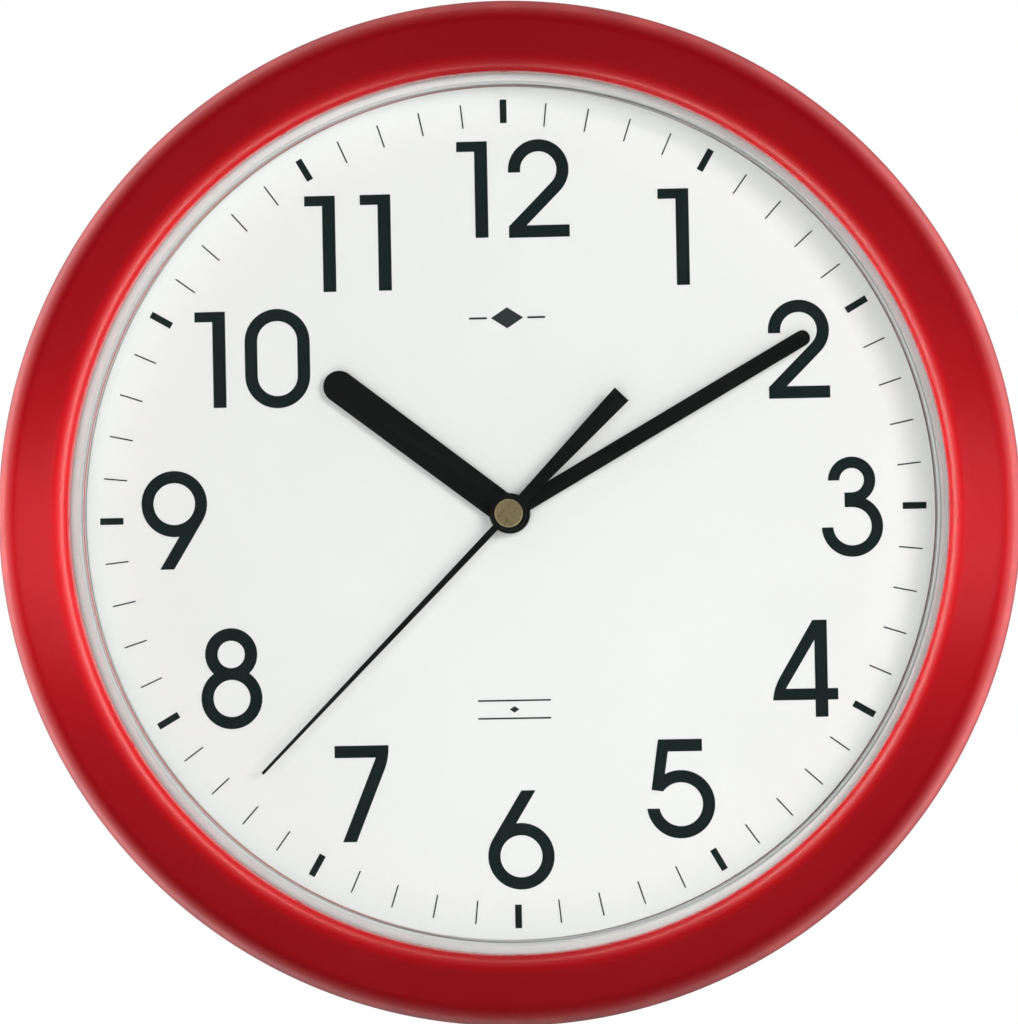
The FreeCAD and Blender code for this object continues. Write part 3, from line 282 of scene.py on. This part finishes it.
def softened(name, node, body):
    bm = bmesh.new()
    bm.from_mesh(nodes[node].data)
    bmesh.ops.remove_doubles(bm, verts=list(bm.verts), dist=0.002 * MM)
    bmesh.ops.dissolve_limit(bm, angle_limit=math.radians(1), verts=list(bm.verts),
                             edges=list(bm.edges))
    bmesh.ops.recalc_face_normals(bm, faces=list(bm.faces))
    rim = [e for e in bm.edges if e.is_manifold and e.calc_face_angle() > math.radians(60)]
    bmesh.ops.bevel(bm, geom=rim, affect="EDGES", offset=EDGE_SOFT * MM, segments=2,
                    profile=0.5, material=-1, clamp_overlap=True)
    piece = finished(name, bm, sharp=30)
    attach(piece, body)
    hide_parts(node)
    return piece


hand_pieces = [
    softened("stamped_hour_hand", "hour_hand", "hour"),
    softened("stamped_minute_hand", "minute_hand", "minute"),
    softened("stamped_second_hand", "second_hand", "second"),
]

# %% [markdown]
# ## The cell
# One AA cell sits in the movement.  A real one is a steel can in a printed film that
# is shrunk over both shoulders, with a bare nub and a bare flat end.  It is turned
# on the lathe like the rest, then laid along X with the transform operators.  The
# film and the bare metal are two pieces, because they are two materials.

# %% Cell in its film
cell_low, cell_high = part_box("battery")
cell_r = (cell_high.z - cell_low.z) / 2 / MM
cell_length = (cell_high.x - cell_low.x) / MM
cell_middle = (cell_low + cell_high) / 2
NUB_R = 2.7
NUB_LONG = 1.0
FILM = 0.12
CAN_INSET = 0.5
END_DISH = 0.35
END_DISH_R = 4.2
END_FLAT_R = 4.6
FILM_START = 0.02
FILM_OVER_END = 1.4
FILM_OVER_SHOULDER = 2.2


def lie_along_x(bm):
    """Turns a piece drawn upright on the lathe so that its front end points along +X."""
    for v in bm.verts:
        v.co.y = -v.co.y
    turn = Matrix.Rotation(math.radians(-90), 3, "Z")
    bmesh.ops.rotate(bm, verts=list(bm.verts), cent=(0, 0, 0), matrix=turn)
    bmesh.ops.translate(bm, verts=list(bm.verts), vec=cell_middle)
    face_outwards(bm)


back_end = -cell_length / 2
front_end = cell_length / 2
shoulder = front_end - NUB_LONG
film_start = back_end + FILM_START
can_r = cell_r - CAN_INSET
bm = bmesh.new()
draw_section(bm, [
    (0, back_end + END_DISH), (END_DISH_R, back_end + END_DISH), (END_FLAT_R, back_end),
    (can_r, back_end), (can_r, shoulder - 0.1), (NUB_R + 0.6, shoulder - 0.1),
    (NUB_R, shoulder), (NUB_R, front_end), (0, front_end),
])
round_corner(bm, NUB_R, front_end, 0.35, 4)
round_corner(bm, can_r, back_end, 0.3, 3)
spin_section(bm, 64)
lie_along_x(bm)
cell_can = finished("cell_can", bm)
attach(cell_can, "cell")
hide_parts("battery")

bm = bmesh.new()
draw_section(bm, [
    (cell_r - FILM_OVER_END, film_start), (cell_r, film_start), (cell_r, shoulder),
    (cell_r - FILM_OVER_SHOULDER, shoulder), (cell_r - FILM_OVER_SHOULDER, shoulder - FILM),
    (cell_r - FILM, shoulder - FILM), (cell_r - FILM, film_start + FILM),
    (cell_r - FILM_OVER_END, film_start + FILM),
])
round_corner(bm, cell_r, film_start, 0.5, 5)
round_corner(bm, cell_r, shoulder, 0.6, 5)
split_long_lines(bm, 10.0, 4)
spin_section(bm, 64)
lie_along_x(bm)
cell_film = finished("cell_film", bm)
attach(cell_film, "cell")
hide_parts("battery")

# %% [markdown]
# ## Shader arithmetic
# Finishes are written as small formulas.  The class below wraps one output socket of
# a shader and lets Python's operators add Math nodes, so `0.1 + 0.2 * dust` means
# what it says.  Every other node comes from one method that takes its type, its
# settings and the values or links of its sockets.

# %% Value and Finish
class Value:
    """One output socket, with arithmetic."""

    def __init__(self, finish, socket):
        self.finish = finish
        self.socket = socket

    def worked(self, operation, *terms):
        node = self.finish.node("ShaderNodeMath", {"operation": operation},
                                dict(enumerate(terms)))
        return node.out(0)

    def __add__(self, other):
        return self.worked("ADD", self, other)

    def __radd__(self, other):
        return self.worked("ADD", other, self)

    def __sub__(self, other):
        return self.worked("SUBTRACT", self, other)

    def __rsub__(self, other):
        return self.worked("SUBTRACT", other, self)

    def __mul__(self, other):
        return self.worked("MULTIPLY", self, other)

    def __rmul__(self, other):
        return self.worked("MULTIPLY", other, self)

    def __pow__(self, other):
        return self.worked("POWER", self, other)

    def __gt__(self, other):
        return self.worked("GREATER_THAN", self, other)

    def __lt__(self, other):
        return self.worked("LESS_THAN", self, other)

    def sine(self):
        return self.worked("SINE", self)

    def clipped(self):
        return self.worked("MINIMUM", self.worked("MAXIMUM", self, 0.0), 1.0)

    def rise(self, start, end):
        """0 below start, 1 above end, soft between."""
        node = self.finish.node("ShaderNodeMapRange", {"interpolation_type": "SMOOTHSTEP"},
                                {0: self, 1: start, 2: end, 3: 0.0, 4: 1.0})
        return node.out(0)


class Made:
    """A node that was just made."""

    def __init__(self, finish, node):
        self.finish = finish
        self.node = node

    def out(self, which):
        return Value(self.finish, self.node.outputs[which])


class Finish:
    """One material under construction."""

    def __init__(self, name):
        self.material = bpy.data.materials.new(name)
        self.material.use_nodes = True
        self.tree = self.material.node_tree
        self.tree.nodes.clear()
        self.place = self.node("ShaderNodeTexCoord").out("Object")

    def node(self, kind, settings=None, values=None):
        made = self.tree.nodes.new(kind)
        for key, value in (settings or {}).items():
            if key == "stops":
                ramp = made.color_ramp
                while len(ramp.elements) < len(value):
                    ramp.elements.new(0.5)
                for element, (position, colour) in zip(ramp.elements, value):
                    element.position = position
                    element.color = colour
            else:
                setattr(made, key, value)
        for key, value in (values or {}).items():
            if isinstance(value, Value):
                self.tree.links.new(value.socket, made.inputs[key])
            elif value is not None:
                made.inputs[key].default_value = value
        return Made(self, made)

    def noise(self, size_mm, detail=2.0, rough=0.5, stretch=None):
        """Cloudy pattern whose lumps are about size_mm across."""
        where = self.place
        if stretch:
            where = self.node("ShaderNodeMapping", {}, {"Vector": where, "Scale": stretch}).out(0)
        return self.node("ShaderNodeTexNoise", {},
                         {"Vector": where, "Scale": 1000 / size_mm, "Detail": detail,
                          "Roughness": rough}).out(0)

    def cells(self, size_mm, feature="F1"):
        return self.node("ShaderNodeTexVoronoi", {"feature": feature},
                         {"Vector": self.place, "Scale": 1000 / size_mm}).out("Distance")

    def parts(self):
        """x, y and z of the point, in millimetres."""
        split = self.node("ShaderNodeSeparateXYZ", {}, {0: self.place})
        return [split.out(i) * 1000 for i in range(3)]

    def from_axis(self):
        """Distance in millimetres from the axis of the hands."""
        px, _, pz = self.parts()
        return (px * px + pz * pz) ** 0.5

    def mixed(self, amount, first, second):
        node = self.node("ShaderNodeMix", {"data_type": "RGBA"},
                         {0: amount, 6: first, 7: second})
        return node.out(2)

    def bumped(self, height, depth_mm, strength=1.0):
        return self.node("ShaderNodeBump", {}, {"Height": height, "Strength": strength,
                                                "Distance": depth_mm * MM}).out(0)

    def principled(self, **values):
        named = {key.replace("_", " "): value for key, value in values.items()}
        return self.node("ShaderNodeBsdfPrincipled", {}, named).out(0)

    def done(self, shader):
        self.node("ShaderNodeOutputMaterial", {"target": "ALL"}, {"Surface": shader})
        print("finish", self.material.name, len(self.tree.nodes), "nodes")
        return self.material


def wear(piece, material):
    """Puts one material on every slot of a piece."""
    if not piece.data.materials:
        piece.data.materials.append(material)
    for slot in piece.material_slots:
        slot.material = material


def rgb(red, green, blue):
    return (red, green, blue, 1.0)


# %% [markdown]
# ## Red gloss
# The ring is moulded from a solid red plastic in a polished mould.  Up close such a
# skin is not a mirror: it swells and dips by a micrometre or so, the pigment drifts
# a little along the flow, and years of dusting leave hair scratches and a duller
# outer edge.  Noise patterns in object coordinates give each of these its own size.

# %% Red gloss plastic
f = Finish("red_gloss_plastic")
drift = f.noise(55.0, 3.0)
speck = f.noise(1.1, 2.0)
red = f.mixed((drift * 0.8 + speck * 0.2).clipped(), rgb(0.129, 0.0018, 0.0034),
              rgb(0.159, 0.0028, 0.0048))
around = f.from_axis()
_, depth, _ = f.parts()
outer_edge = around.rise(121.6, 124.6) * (depth * -1.0).rise(CREST - 5.0, CREST - 2.5)
rubbed = outer_edge * f.noise(9.0, 4.0).rise(0.42, 0.66)
hair = f.noise(0.35, 2.0, 0.6, (1.0, 1.0, 0.035)).rise(0.60, 0.74)
hair_across = f.noise(0.35, 2.0, 0.6, (0.05, 1.0, 1.0)).rise(0.62, 0.74)
dull = f.noise(14.0, 4.0)
rough = 0.085 + dull * 0.06 + rubbed * 0.10 + (hair + hair_across) * 0.05
worn_red = f.mixed(rubbed * 0.35, red, rgb(0.26, 0.020, 0.018))
swell = f.noise(3.2, 2.0) + f.noise(0.8, 1.0) * 0.25
skin = f.bumped(swell, 0.012, 0.55)
red_gloss = f.done(f.principled(Base_Color=worn_red, Roughness=rough, Normal=skin, IOR=1.5,
                                Coat_Weight=0.15, Coat_Roughness=0.04))
wear(bezel_ring, red_gloss)

# %% [markdown]
# ## Clear plastic
# A lens this thin hardly bends light, so a mix of see-through and reflection is
# enough, and it lets daylight through to the dial without noise.  Fresnel decides
# how much reflects.  A thin band of the see-through part at the sharp step is tinted
# grey: painted shade in place of the light that the step bends away.  Old dust makes the edge a
# bit hazy.

# %% Clear lens
f = Finish("clear_plastic_lens")
around = f.from_axis()
# Painted shade: a thin band at the step where what is seen through the lens is tinted grey.
step_shade_band = (around.rise(step_r - 0.50, step_r - 0.32)
             * (1.0 - around.rise(step_r - 0.08, step_r + 0.10)))
clear = f.node("ShaderNodeBsdfTransparent", {}, {"Color": rgb(0.997, 0.998, 0.998)}).out(0)
# The grey tint of the painted step shade.
painted_step_shade = f.node("ShaderNodeBsdfTransparent", {}, {"Color": rgb(0.76, 0.77, 0.78)}).out(0)
through = f.node("ShaderNodeMixShader", {}, {0: step_shade_band, 1: clear, 2: painted_step_shade}).out(0)
ripple = f.bumped(f.noise(22.0, 1.0), 0.02, 0.25)
haze = f.noise(30.0, 5.0).rise(0.45, 0.75)
mirror = f.node("ShaderNodeBsdfGlossy", {"distribution": "GGX"},
                {"Color": rgb(1.0, 1.0, 1.0), "Roughness": 0.02 + haze * 0.05,
                 "Normal": ripple}).out(0)
facing = f.node("ShaderNodeFresnel", {}, {"IOR": 1.45}).out(0)
share = (facing * (0.9 + haze * 0.1)).clipped()
clear_plastic = f.done(f.node("ShaderNodeMixShader", {}, {0: share, 1: through, 2: mirror}).out(0))
wear(clear_lens, clear_plastic)

# %% [markdown]
# ## Moulded plastics
# The shell, the movement case, the wheels and the small holders are all moulded, and
# differ in colour, in gloss and in the texture of the mould.  One recipe with a few
# numbers makes them: a cloudy colour, a fine eroded grain in the bump and the
# roughness, and dust that settled in broad patches.

# %% Moulded plastic recipe
def moulded(name, colour, shade, gloss, grain_mm, depth_mm, dust=0.0):
    f = Finish(name)
    cloud = f.noise(26.0, 4.0)
    grain = f.noise(grain_mm, 3.0, 0.6)
    pits = f.cells(grain_mm * 1.7)
    tone = (cloud * 0.7 + grain * 0.3).clipped()
    settled = f.noise(17.0, 6.0, 0.6).rise(0.50, 0.72) * dust
    base = f.mixed(settled, f.mixed(tone, shade, colour), rgb(0.42, 0.40, 0.36))
    rough = gloss + grain * 0.12 + cloud * 0.06 + settled * 0.2
    skin = f.bumped(grain * 0.7 + pits * 0.3, depth_mm, 0.6)
    return f.done(f.principled(Base_Color=base, Roughness=rough, Normal=skin, IOR=1.49))


white_moulding = moulded("white_satin_moulding", rgb(0.88, 0.89, 0.875), rgb(0.83, 0.84, 0.82),
                         0.34, 0.6, 0.03, 0.10)
black_moulding = moulded("black_eroded_moulding", rgb(0.026, 0.026, 0.028),
                         rgb(0.014, 0.014, 0.016), 0.42, 0.45, 0.05, 0.08)
grey_moulding = moulded("grey_moulding", rgb(0.36, 0.37, 0.37), rgb(0.29, 0.30, 0.30),
                        0.38, 0.5, 0.03, 0.06)
wheel_moulding = moulded("natural_wheel_plastic", rgb(0.74, 0.71, 0.62), rgb(0.66, 0.63, 0.53),
                         0.30, 0.3, 0.01)
resin = moulded("chip_resin", rgb(0.012, 0.012, 0.013), rgb(0.006, 0.006, 0.007), 0.45, 0.2, 0.01)
wear(nodes["back_shell"], white_moulding)
for piece in ("movement_back_case", "movement_front_case", "middle_plate"):
    wear(nodes[piece], black_moulding)
wear(nodes["control_chip"], resin)

# %% [markdown]
# ## Dial and ink
# The dial is thin sheet, sprayed a warm white and screen printed.  Spray leaves a
# faint eggshell, the print stands a tenth of a millimetre proud and its ink is a
# very dark green-black that dries a little uneven.

# %% Dial sheet and ink
f = Finish("sprayed_dial_sheet")
mottle = f.noise(38.0, 3.0)
egg = f.noise(0.5, 2.0)
paper = f.mixed((mottle * 0.75 + egg * 0.25).clipped(), rgb(0.872, 0.884, 0.872),
                rgb(0.905, 0.915, 0.900))
dial_paint = f.done(f.principled(Base_Color=paper, Roughness=0.48 + egg * 0.12 + mottle * 0.05,
                                 Normal=f.bumped(egg, 0.006, 0.5), IOR=1.45))
wear(nodes["dial"], dial_paint)


def printed(name, thick, thin, gloss):
    f = Finish(name)
    flow = f.noise(2.6, 4.0)
    mesh_mark = f.noise(0.18, 1.0)
    body = f.mixed((flow * 0.8 + mesh_mark * 0.2).clipped(), thick, thin)
    return f.done(f.principled(Base_Color=body, Roughness=gloss + flow * 0.15 + mesh_mark * 0.05,
                               Normal=f.bumped(mesh_mark + flow * 0.5, 0.008, 0.5), IOR=1.48))


numeral_ink = printed("numeral_ink", rgb(0.0055, 0.0125, 0.0125),
                      rgb(0.0100, 0.0195, 0.0190), 0.38)
fine_ink = printed("fine_line_ink", rgb(0.022, 0.030, 0.030), rgb(0.040, 0.050, 0.050), 0.42)
wear(nodes["dial_numerals"], numeral_ink)
wear(nodes["dial_ticks"], numeral_ink)
wear(nodes["dial_ornaments"], fine_ink)

# %% [markdown]
# ## Hands and cap
# The hands are painted black over steel; the paint is satin, gathers a little at the
# stamped edge and shows a few lighter specks.  The cap is skimmed brass: its turning
# marks are rings about its own axis, which stretch its sheen from the middle outwards.

# %% Black paint and turned brass
f = Finish("black_hand_paint")
coat = f.noise(4.0, 4.0)
fleck = f.noise(0.25, 2.0)
chip = f.noise(0.9, 5.0, 0.7).rise(0.70, 0.76)
sprayed = f.mixed(coat, rgb(0.0035, 0.0042, 0.0040), rgb(0.0085, 0.0095, 0.0090))
black = f.mixed(chip * 0.5, sprayed, rgb(0.05, 0.05, 0.05))
hand_paint = f.done(f.principled(Base_Color=black, Roughness=0.30 + coat * 0.14 + fleck * 0.06,
                                 Normal=f.bumped(fleck + coat * 0.4, 0.006, 0.5), IOR=1.5))
for piece in hand_pieces:
    wear(piece, hand_paint)

f = Finish("turned_brass")
around = f.from_axis()
wobble = f.noise(1.6, 2.0)
tool = (around * 26.0 + wobble * 2.0).sine()
fine_tool = (around * 71.0).sine()
tarnish = f.noise(1.3, 5.0, 0.6).rise(0.45, 0.75)
brass = f.mixed(tarnish, rgb(0.80, 0.66, 0.36), rgb(0.58, 0.46, 0.22))
grooves = f.node("ShaderNodeTangent", {"direction_type": "RADIAL", "axis": "Y"}).out(0)
turned_brass = f.done(f.principled(Base_Color=brass, Metallic=0.85,
                                   Roughness=0.40 + tarnish * 0.10 + wobble * 0.05,
                                   Anisotropic=0.85, Anisotropic_Rotation=0.25, Tangent=grooves,
                                   Normal=f.bumped(tool * 0.5 + fine_tool * 0.3, 0.004, 0.4)))
wear(turned_cap, turned_brass)

# %% [markdown]
# ## Metals of the works
# Screws, contacts, the motor's stator and core, the crystal's can and the cell's can
# are plated or bare metal.  They share a recipe too: brushed or tumbled streaks in
# the bump and the roughness, with stains that dull them in places.

# %% Metal recipe
def metal(name, colour, stain, gloss, streak, size_mm=0.25):
    f = Finish(name)
    lines = f.noise(size_mm, 3.0, 0.6, streak)
    patch = f.noise(3.5, 5.0, 0.6).rise(0.46, 0.72)
    base = f.mixed(patch * 0.7, colour, stain)
    rough = gloss + lines * 0.12 + patch * 0.16
    skin = f.bumped(lines, 0.008, 0.6)
    return f.done(f.principled(Base_Color=base, Metallic=1.0, Roughness=rough, Normal=skin))


zinc = metal("zinc_plated_steel", rgb(0.60, 0.60, 0.59), rgb(0.42, 0.41, 0.37), 0.24,
             (1, 1, 1), 0.5)
nickel = metal("nickel_plated_strip", rgb(0.68, 0.66, 0.61), rgb(0.48, 0.45, 0.39), 0.20,
               (0.08, 1, 1))
soft_iron = metal("soft_iron", rgb(0.40, 0.39, 0.37), rgb(0.26, 0.23, 0.20), 0.34, (0.1, 1, 1))
can_steel = metal("crystal_can_steel", rgb(0.66, 0.66, 0.67), rgb(0.50, 0.50, 0.50), 0.16,
                  (0.06, 1, 1))
magnet_black = metal("magnet_ferrite", rgb(0.09, 0.09, 0.09), rgb(0.05, 0.045, 0.04), 0.45,
                     (1, 1, 1), 0.3)
shaft_steel = metal("shaft_steel", rgb(0.58, 0.58, 0.58), rgb(0.44, 0.43, 0.41), 0.15,
                    (1, 0.05, 1))
print("metal finishes made")

# %% [markdown]
# ## Winding, board and film
# Three surfaces of the works have a pattern of their own.  The coil's copper wire
# lies turn beside turn, which is a row of ridges along its length.  The board has a
# green mask over raised tracks.  The cell's film is printed in two plain bands.

# %% Copper, board and film
f = Finish("copper_winding")
along, _, _ = f.parts()
turns = (along * 21.0).sine()
lacquer = f.noise(2.2, 3.0)
# The copper is lighter on the crest of each turn and darker between turns: painted highlight and
# painted shade that follow the ridges.
copper = f.mixed((lacquer * 0.6 + turns * 0.2 + 0.2).clipped(), rgb(0.42, 0.13, 0.06),
                 rgb(0.62, 0.26, 0.13))
copper_wire = f.done(f.principled(Base_Color=copper, Metallic=0.9, Roughness=0.26 + lacquer * 0.14,
                                  Normal=f.bumped(turns, 0.05, 0.8)))
wear(nodes["coil_winding"], copper_wire)

f = Finish("green_board")
tracks = f.cells(2.4, "DISTANCE_TO_EDGE").rise(0.06, 0.10)
weave = f.noise(0.4, 2.0)
mask = f.mixed(tracks, rgb(0.035, 0.21, 0.09), rgb(0.014, 0.10, 0.045))
green_board = f.done(f.principled(Base_Color=mask, Roughness=0.24 + weave * 0.14,
                                  Normal=f.bumped((1.0 - tracks) + weave * 0.15, 0.03, 0.7)))
wear(nodes["circuit_board"], green_board)

f = Finish("printed_cell_film")
along, _, _ = f.parts()
band_start = cell_middle.x / MM + 9.0
band = (along > band_start) * 1.0
hairline = (along > band_start - 1.2) * (along < band_start - 0.6)
film_cloud = f.noise(5.0, 4.0)
scuff = f.noise(0.6, 4.0, 0.7, (0.12, 1, 1)).rise(0.60, 0.72)
film = f.mixed(band, f.mixed(film_cloud, rgb(0.030, 0.085, 0.060), rgb(0.045, 0.115, 0.080)),
               f.mixed(film_cloud, rgb(0.50, 0.33, 0.10), rgb(0.62, 0.42, 0.15)))
film = f.mixed(hairline * 0.9, film, rgb(0.75, 0.76, 0.72))
film = f.mixed(scuff * 0.3, film, rgb(0.35, 0.35, 0.33))
cell_print = f.done(f.principled(Base_Color=film, Metallic=band * 0.6,
                                 Roughness=0.20 + film_cloud * 0.10 + scuff * 0.2,
                                 Normal=f.bumped(film_cloud + scuff * 0.5, 0.02, 0.5)))
wear(cell_film, cell_print)
wear(cell_can, can_steel)

# %% [markdown]
# ## Dress the remaining nodes
# Everything that came over from the model still wears its flat shipping colour.  One
# table names the finish of each, and a last look makes sure that nothing was missed.

# %% Remaining finishes
dressing = {
    "bezel_screws": zinc,
    "contact_positive": nickel, "contact_negative": nickel, "contact_spring": nickel,
    "stator": soft_iron, "coil_core": soft_iron, "coil_bobbin": grey_moulding,
    "quartz_crystal": can_steel, "rotor": wheel_moulding, "rotor_magnet": magnet_black,
    "fifth_wheel": wheel_moulding, "second_wheel": wheel_moulding, "third_wheel": wheel_moulding,
    "center_wheel": wheel_moulding, "motion_wheel": wheel_moulding, "hour_wheel": wheel_moulding,
    "minute_pipe": wheel_moulding, "second_arbor": shaft_steel, "setting_shaft": grey_moulding,
    "setting_knob": grey_moulding,
}
for name, material in dressing.items():
    wear(nodes[name], material)
replaced = {"bezel", "lens", "second_hand_cap", "hour_hand", "minute_hand", "second_hand",
            "battery"}
bare = [name for name, node in nodes.items() if name not in replaced
        and any("base" in m.name.lower() or not m.use_nodes for m in node.data.materials)]
print("dressed", len(dressing), "left bare", bare)

# %% [markdown]
# ## Light
# A glossy red ring shows its surroundings more than its own colour.  The room is
# therefore drawn with care: dark where the viewer stands, so the flat crown keeps a
# deep red; brighter towards the sides, so the roundings glow; easing off behind.  A
# large soft lamp from the upper right lights the dial and gives the hands their faint
# shadows, and a second one fills from the left.  Small lamps that light only the ring
# lift its edges and the two ends of its crown.  Seen directly, the room is plain white.

# %% Room
world = bpy.data.worlds.new("studio_room")
world.use_nodes = True
bpy.context.scene.world = world


class Room(Finish):
    """The same node maker, working on the room."""

    def __init__(self, world):
        self.tree = world.node_tree
        self.tree.nodes.clear()
        self.place = self.node("ShaderNodeTexCoord").out("Generated")


room = Room(world)
split = room.node("ShaderNodeSeparateXYZ", {}, {0: room.place})
to_side = split.out(0)
ahead = split.out(1)
turned_away = (ahead + 1.0) * 0.5


def level(amount):
    return (amount, amount, amount, 1.0)


glow = room.node("ShaderNodeValToRGB", {"stops": [
    (0.000, level(0.005)), (0.060, level(0.012)), (0.100, level(0.050)), (0.210, level(0.24)),
    (0.390, level(0.52)), (0.540, level(0.85)), (0.700, level(0.64)), (0.860, level(0.34)),
    (1.000, level(0.15)),
]}, {0: turned_away}).out(0)
sides = 1.0 + (to_side * to_side * 1.6).clipped() * 2.0
direct = room.node("ShaderNodeLightPath").out("Is Camera Ray")
strength = (1.0 - direct) * (glow * sides) + direct
room_light = room.node("ShaderNodeBackground", {}, {"Color": level(1.0), "Strength": strength})
room.node("ShaderNodeOutputWorld", {}, {"Surface": room_light.out(0)})
print("room", len(room.tree.nodes), "nodes")

# %% Lamps
def aimed(lamp_object, place, target):
    lamp_object.location = place
    view = Vector(target) - Vector(place)
    lamp_object.rotation_euler = view.to_track_quat("-Z", "Y").to_euler()


def lamp(name, kind, place, target, power, **settings):
    data = bpy.data.lights.new(name, kind)
    data.energy = power
    for key, value in settings.items():
        setattr(data, key, value)
    made = bpy.data.objects.new(name, data)
    bpy.context.scene.collection.objects.link(made)
    aimed(made, place, target)
    made.visible_camera = False
    made.visible_glossy = False
    return made


CENTRE = (0.0, -0.02, 0.0)
WARM = (1.0, 0.90, 0.74)
lamp("soft_key", "AREA", (0.62, -1.16, 0.27), CENTRE, 8.6, shape="DISK", size=0.5)
lamp("front_fill", "AREA", (-0.12, -1.40, 0.02), CENTRE, 6.8, shape="DISK", size=0.7)

only_ring = bpy.data.collections.new("lit_ring")
only_ring.objects.link(bezel_ring)


def only_lights(made, group):
    made.light_linking.receiver_collection = group


WITHIN = (0.0, -(CREST + 17) * MM, 0.0)
CROWN_AT = 0.116
EDGE_AWAY = 0.9
for side, which in ((-1, "left"), (1, "right")):
    above = (side * CROWN_AT, -(CREST + 50) * MM, -0.006)
    only_lights(lamp("crown_glow_" + which, "SPOT", above, (above[0], 0.0, above[2]), 0.36,
                     spot_size=math.radians(118), spot_blend=1.0, shadow_soft_size=0.03),
                only_ring)
for turn, which, edge_power, opening_power in (
        (0, "right", 22.0, 0.50), (90, "upper", 9.0, 0.16), (180, "left", 22.0, 0.50),
        (270, "lower", 9.0, 0.16)):
    out = Vector((math.cos(math.radians(turn)), 0.0, math.sin(math.radians(turn))))
    only_lights(lamp("edge_glow_" + which, "AREA", out * EDGE_AWAY + Vector(CENTRE), CENTRE,
                     edge_power, color=WARM, shape="DISK", size=0.4), only_ring)
    only_lights(lamp("opening_glow_" + which, "AREA", WITHIN, Vector(WITHIN) + out * 0.1,
                     opening_power, color=WARM, shape="RECTANGLE", size=0.06, size_y=0.03),
                only_ring)

# %% [markdown]
# ## Floor and camera
# A wall clock has no floor under it, but a pale one well below keeps the scene
# grounded when it is seen from the side.  The camera stands a little to the right
# and a little below the hand axis with a long lens, so the ring stays round.

# %% Floor
FLOOR_HALF = 1.6
FLOOR_HEIGHT = -0.42
bm = bmesh.new()
bmesh.ops.create_grid(bm, x_segments=1, y_segments=1, size=FLOOR_HALF)
bmesh.ops.translate(bm, verts=list(bm.verts), vec=(0, 0, FLOOR_HEIGHT))
floor = finished("studio_floor", bm)
f = Finish("pale_floor")
floor_cloud = f.noise(180.0, 3.0)
floor_grain = f.noise(2.0, 2.0)
wear(floor, f.done(f.principled(
    Base_Color=f.mixed(floor_cloud, rgb(0.86, 0.86, 0.86), rgb(0.90, 0.90, 0.90)),
    Roughness=0.7 + floor_grain * 0.1, Normal=f.bumped(floor_grain, 0.05, 0.3))))
floor.visible_glossy = False

# %% Camera
FOCAL_MM = 183.44
TILT = math.radians(-1.1)
camera_data = bpy.data.cameras.new("camera")
camera_data.sensor_width = 36.0
camera_data.lens = FOCAL_MM
camera_data.clip_start = 0.05
camera_data.clip_end = 20.0
camera = bpy.data.objects.new("camera", camera_data)
bpy.context.scene.collection.objects.link(camera)
stand = Vector((0.0982, -1.305, -0.0148))
looked_at = Vector((0.0007, -0.037, 0.0002))
tilt = Matrix.Rotation(TILT, 4, "Z")
camera.matrix_world = (Matrix.Translation(stand)
                       @ (looked_at - stand).to_track_quat("-Z", "Y").to_matrix().to_4x4() @ tilt)
bpy.context.scene.camera = camera
bpy.context.scene.view_settings.view_transform = "Standard"
bpy.context.scene.view_settings.look = "None"
print("camera", [round(c, 3) for c in stand])
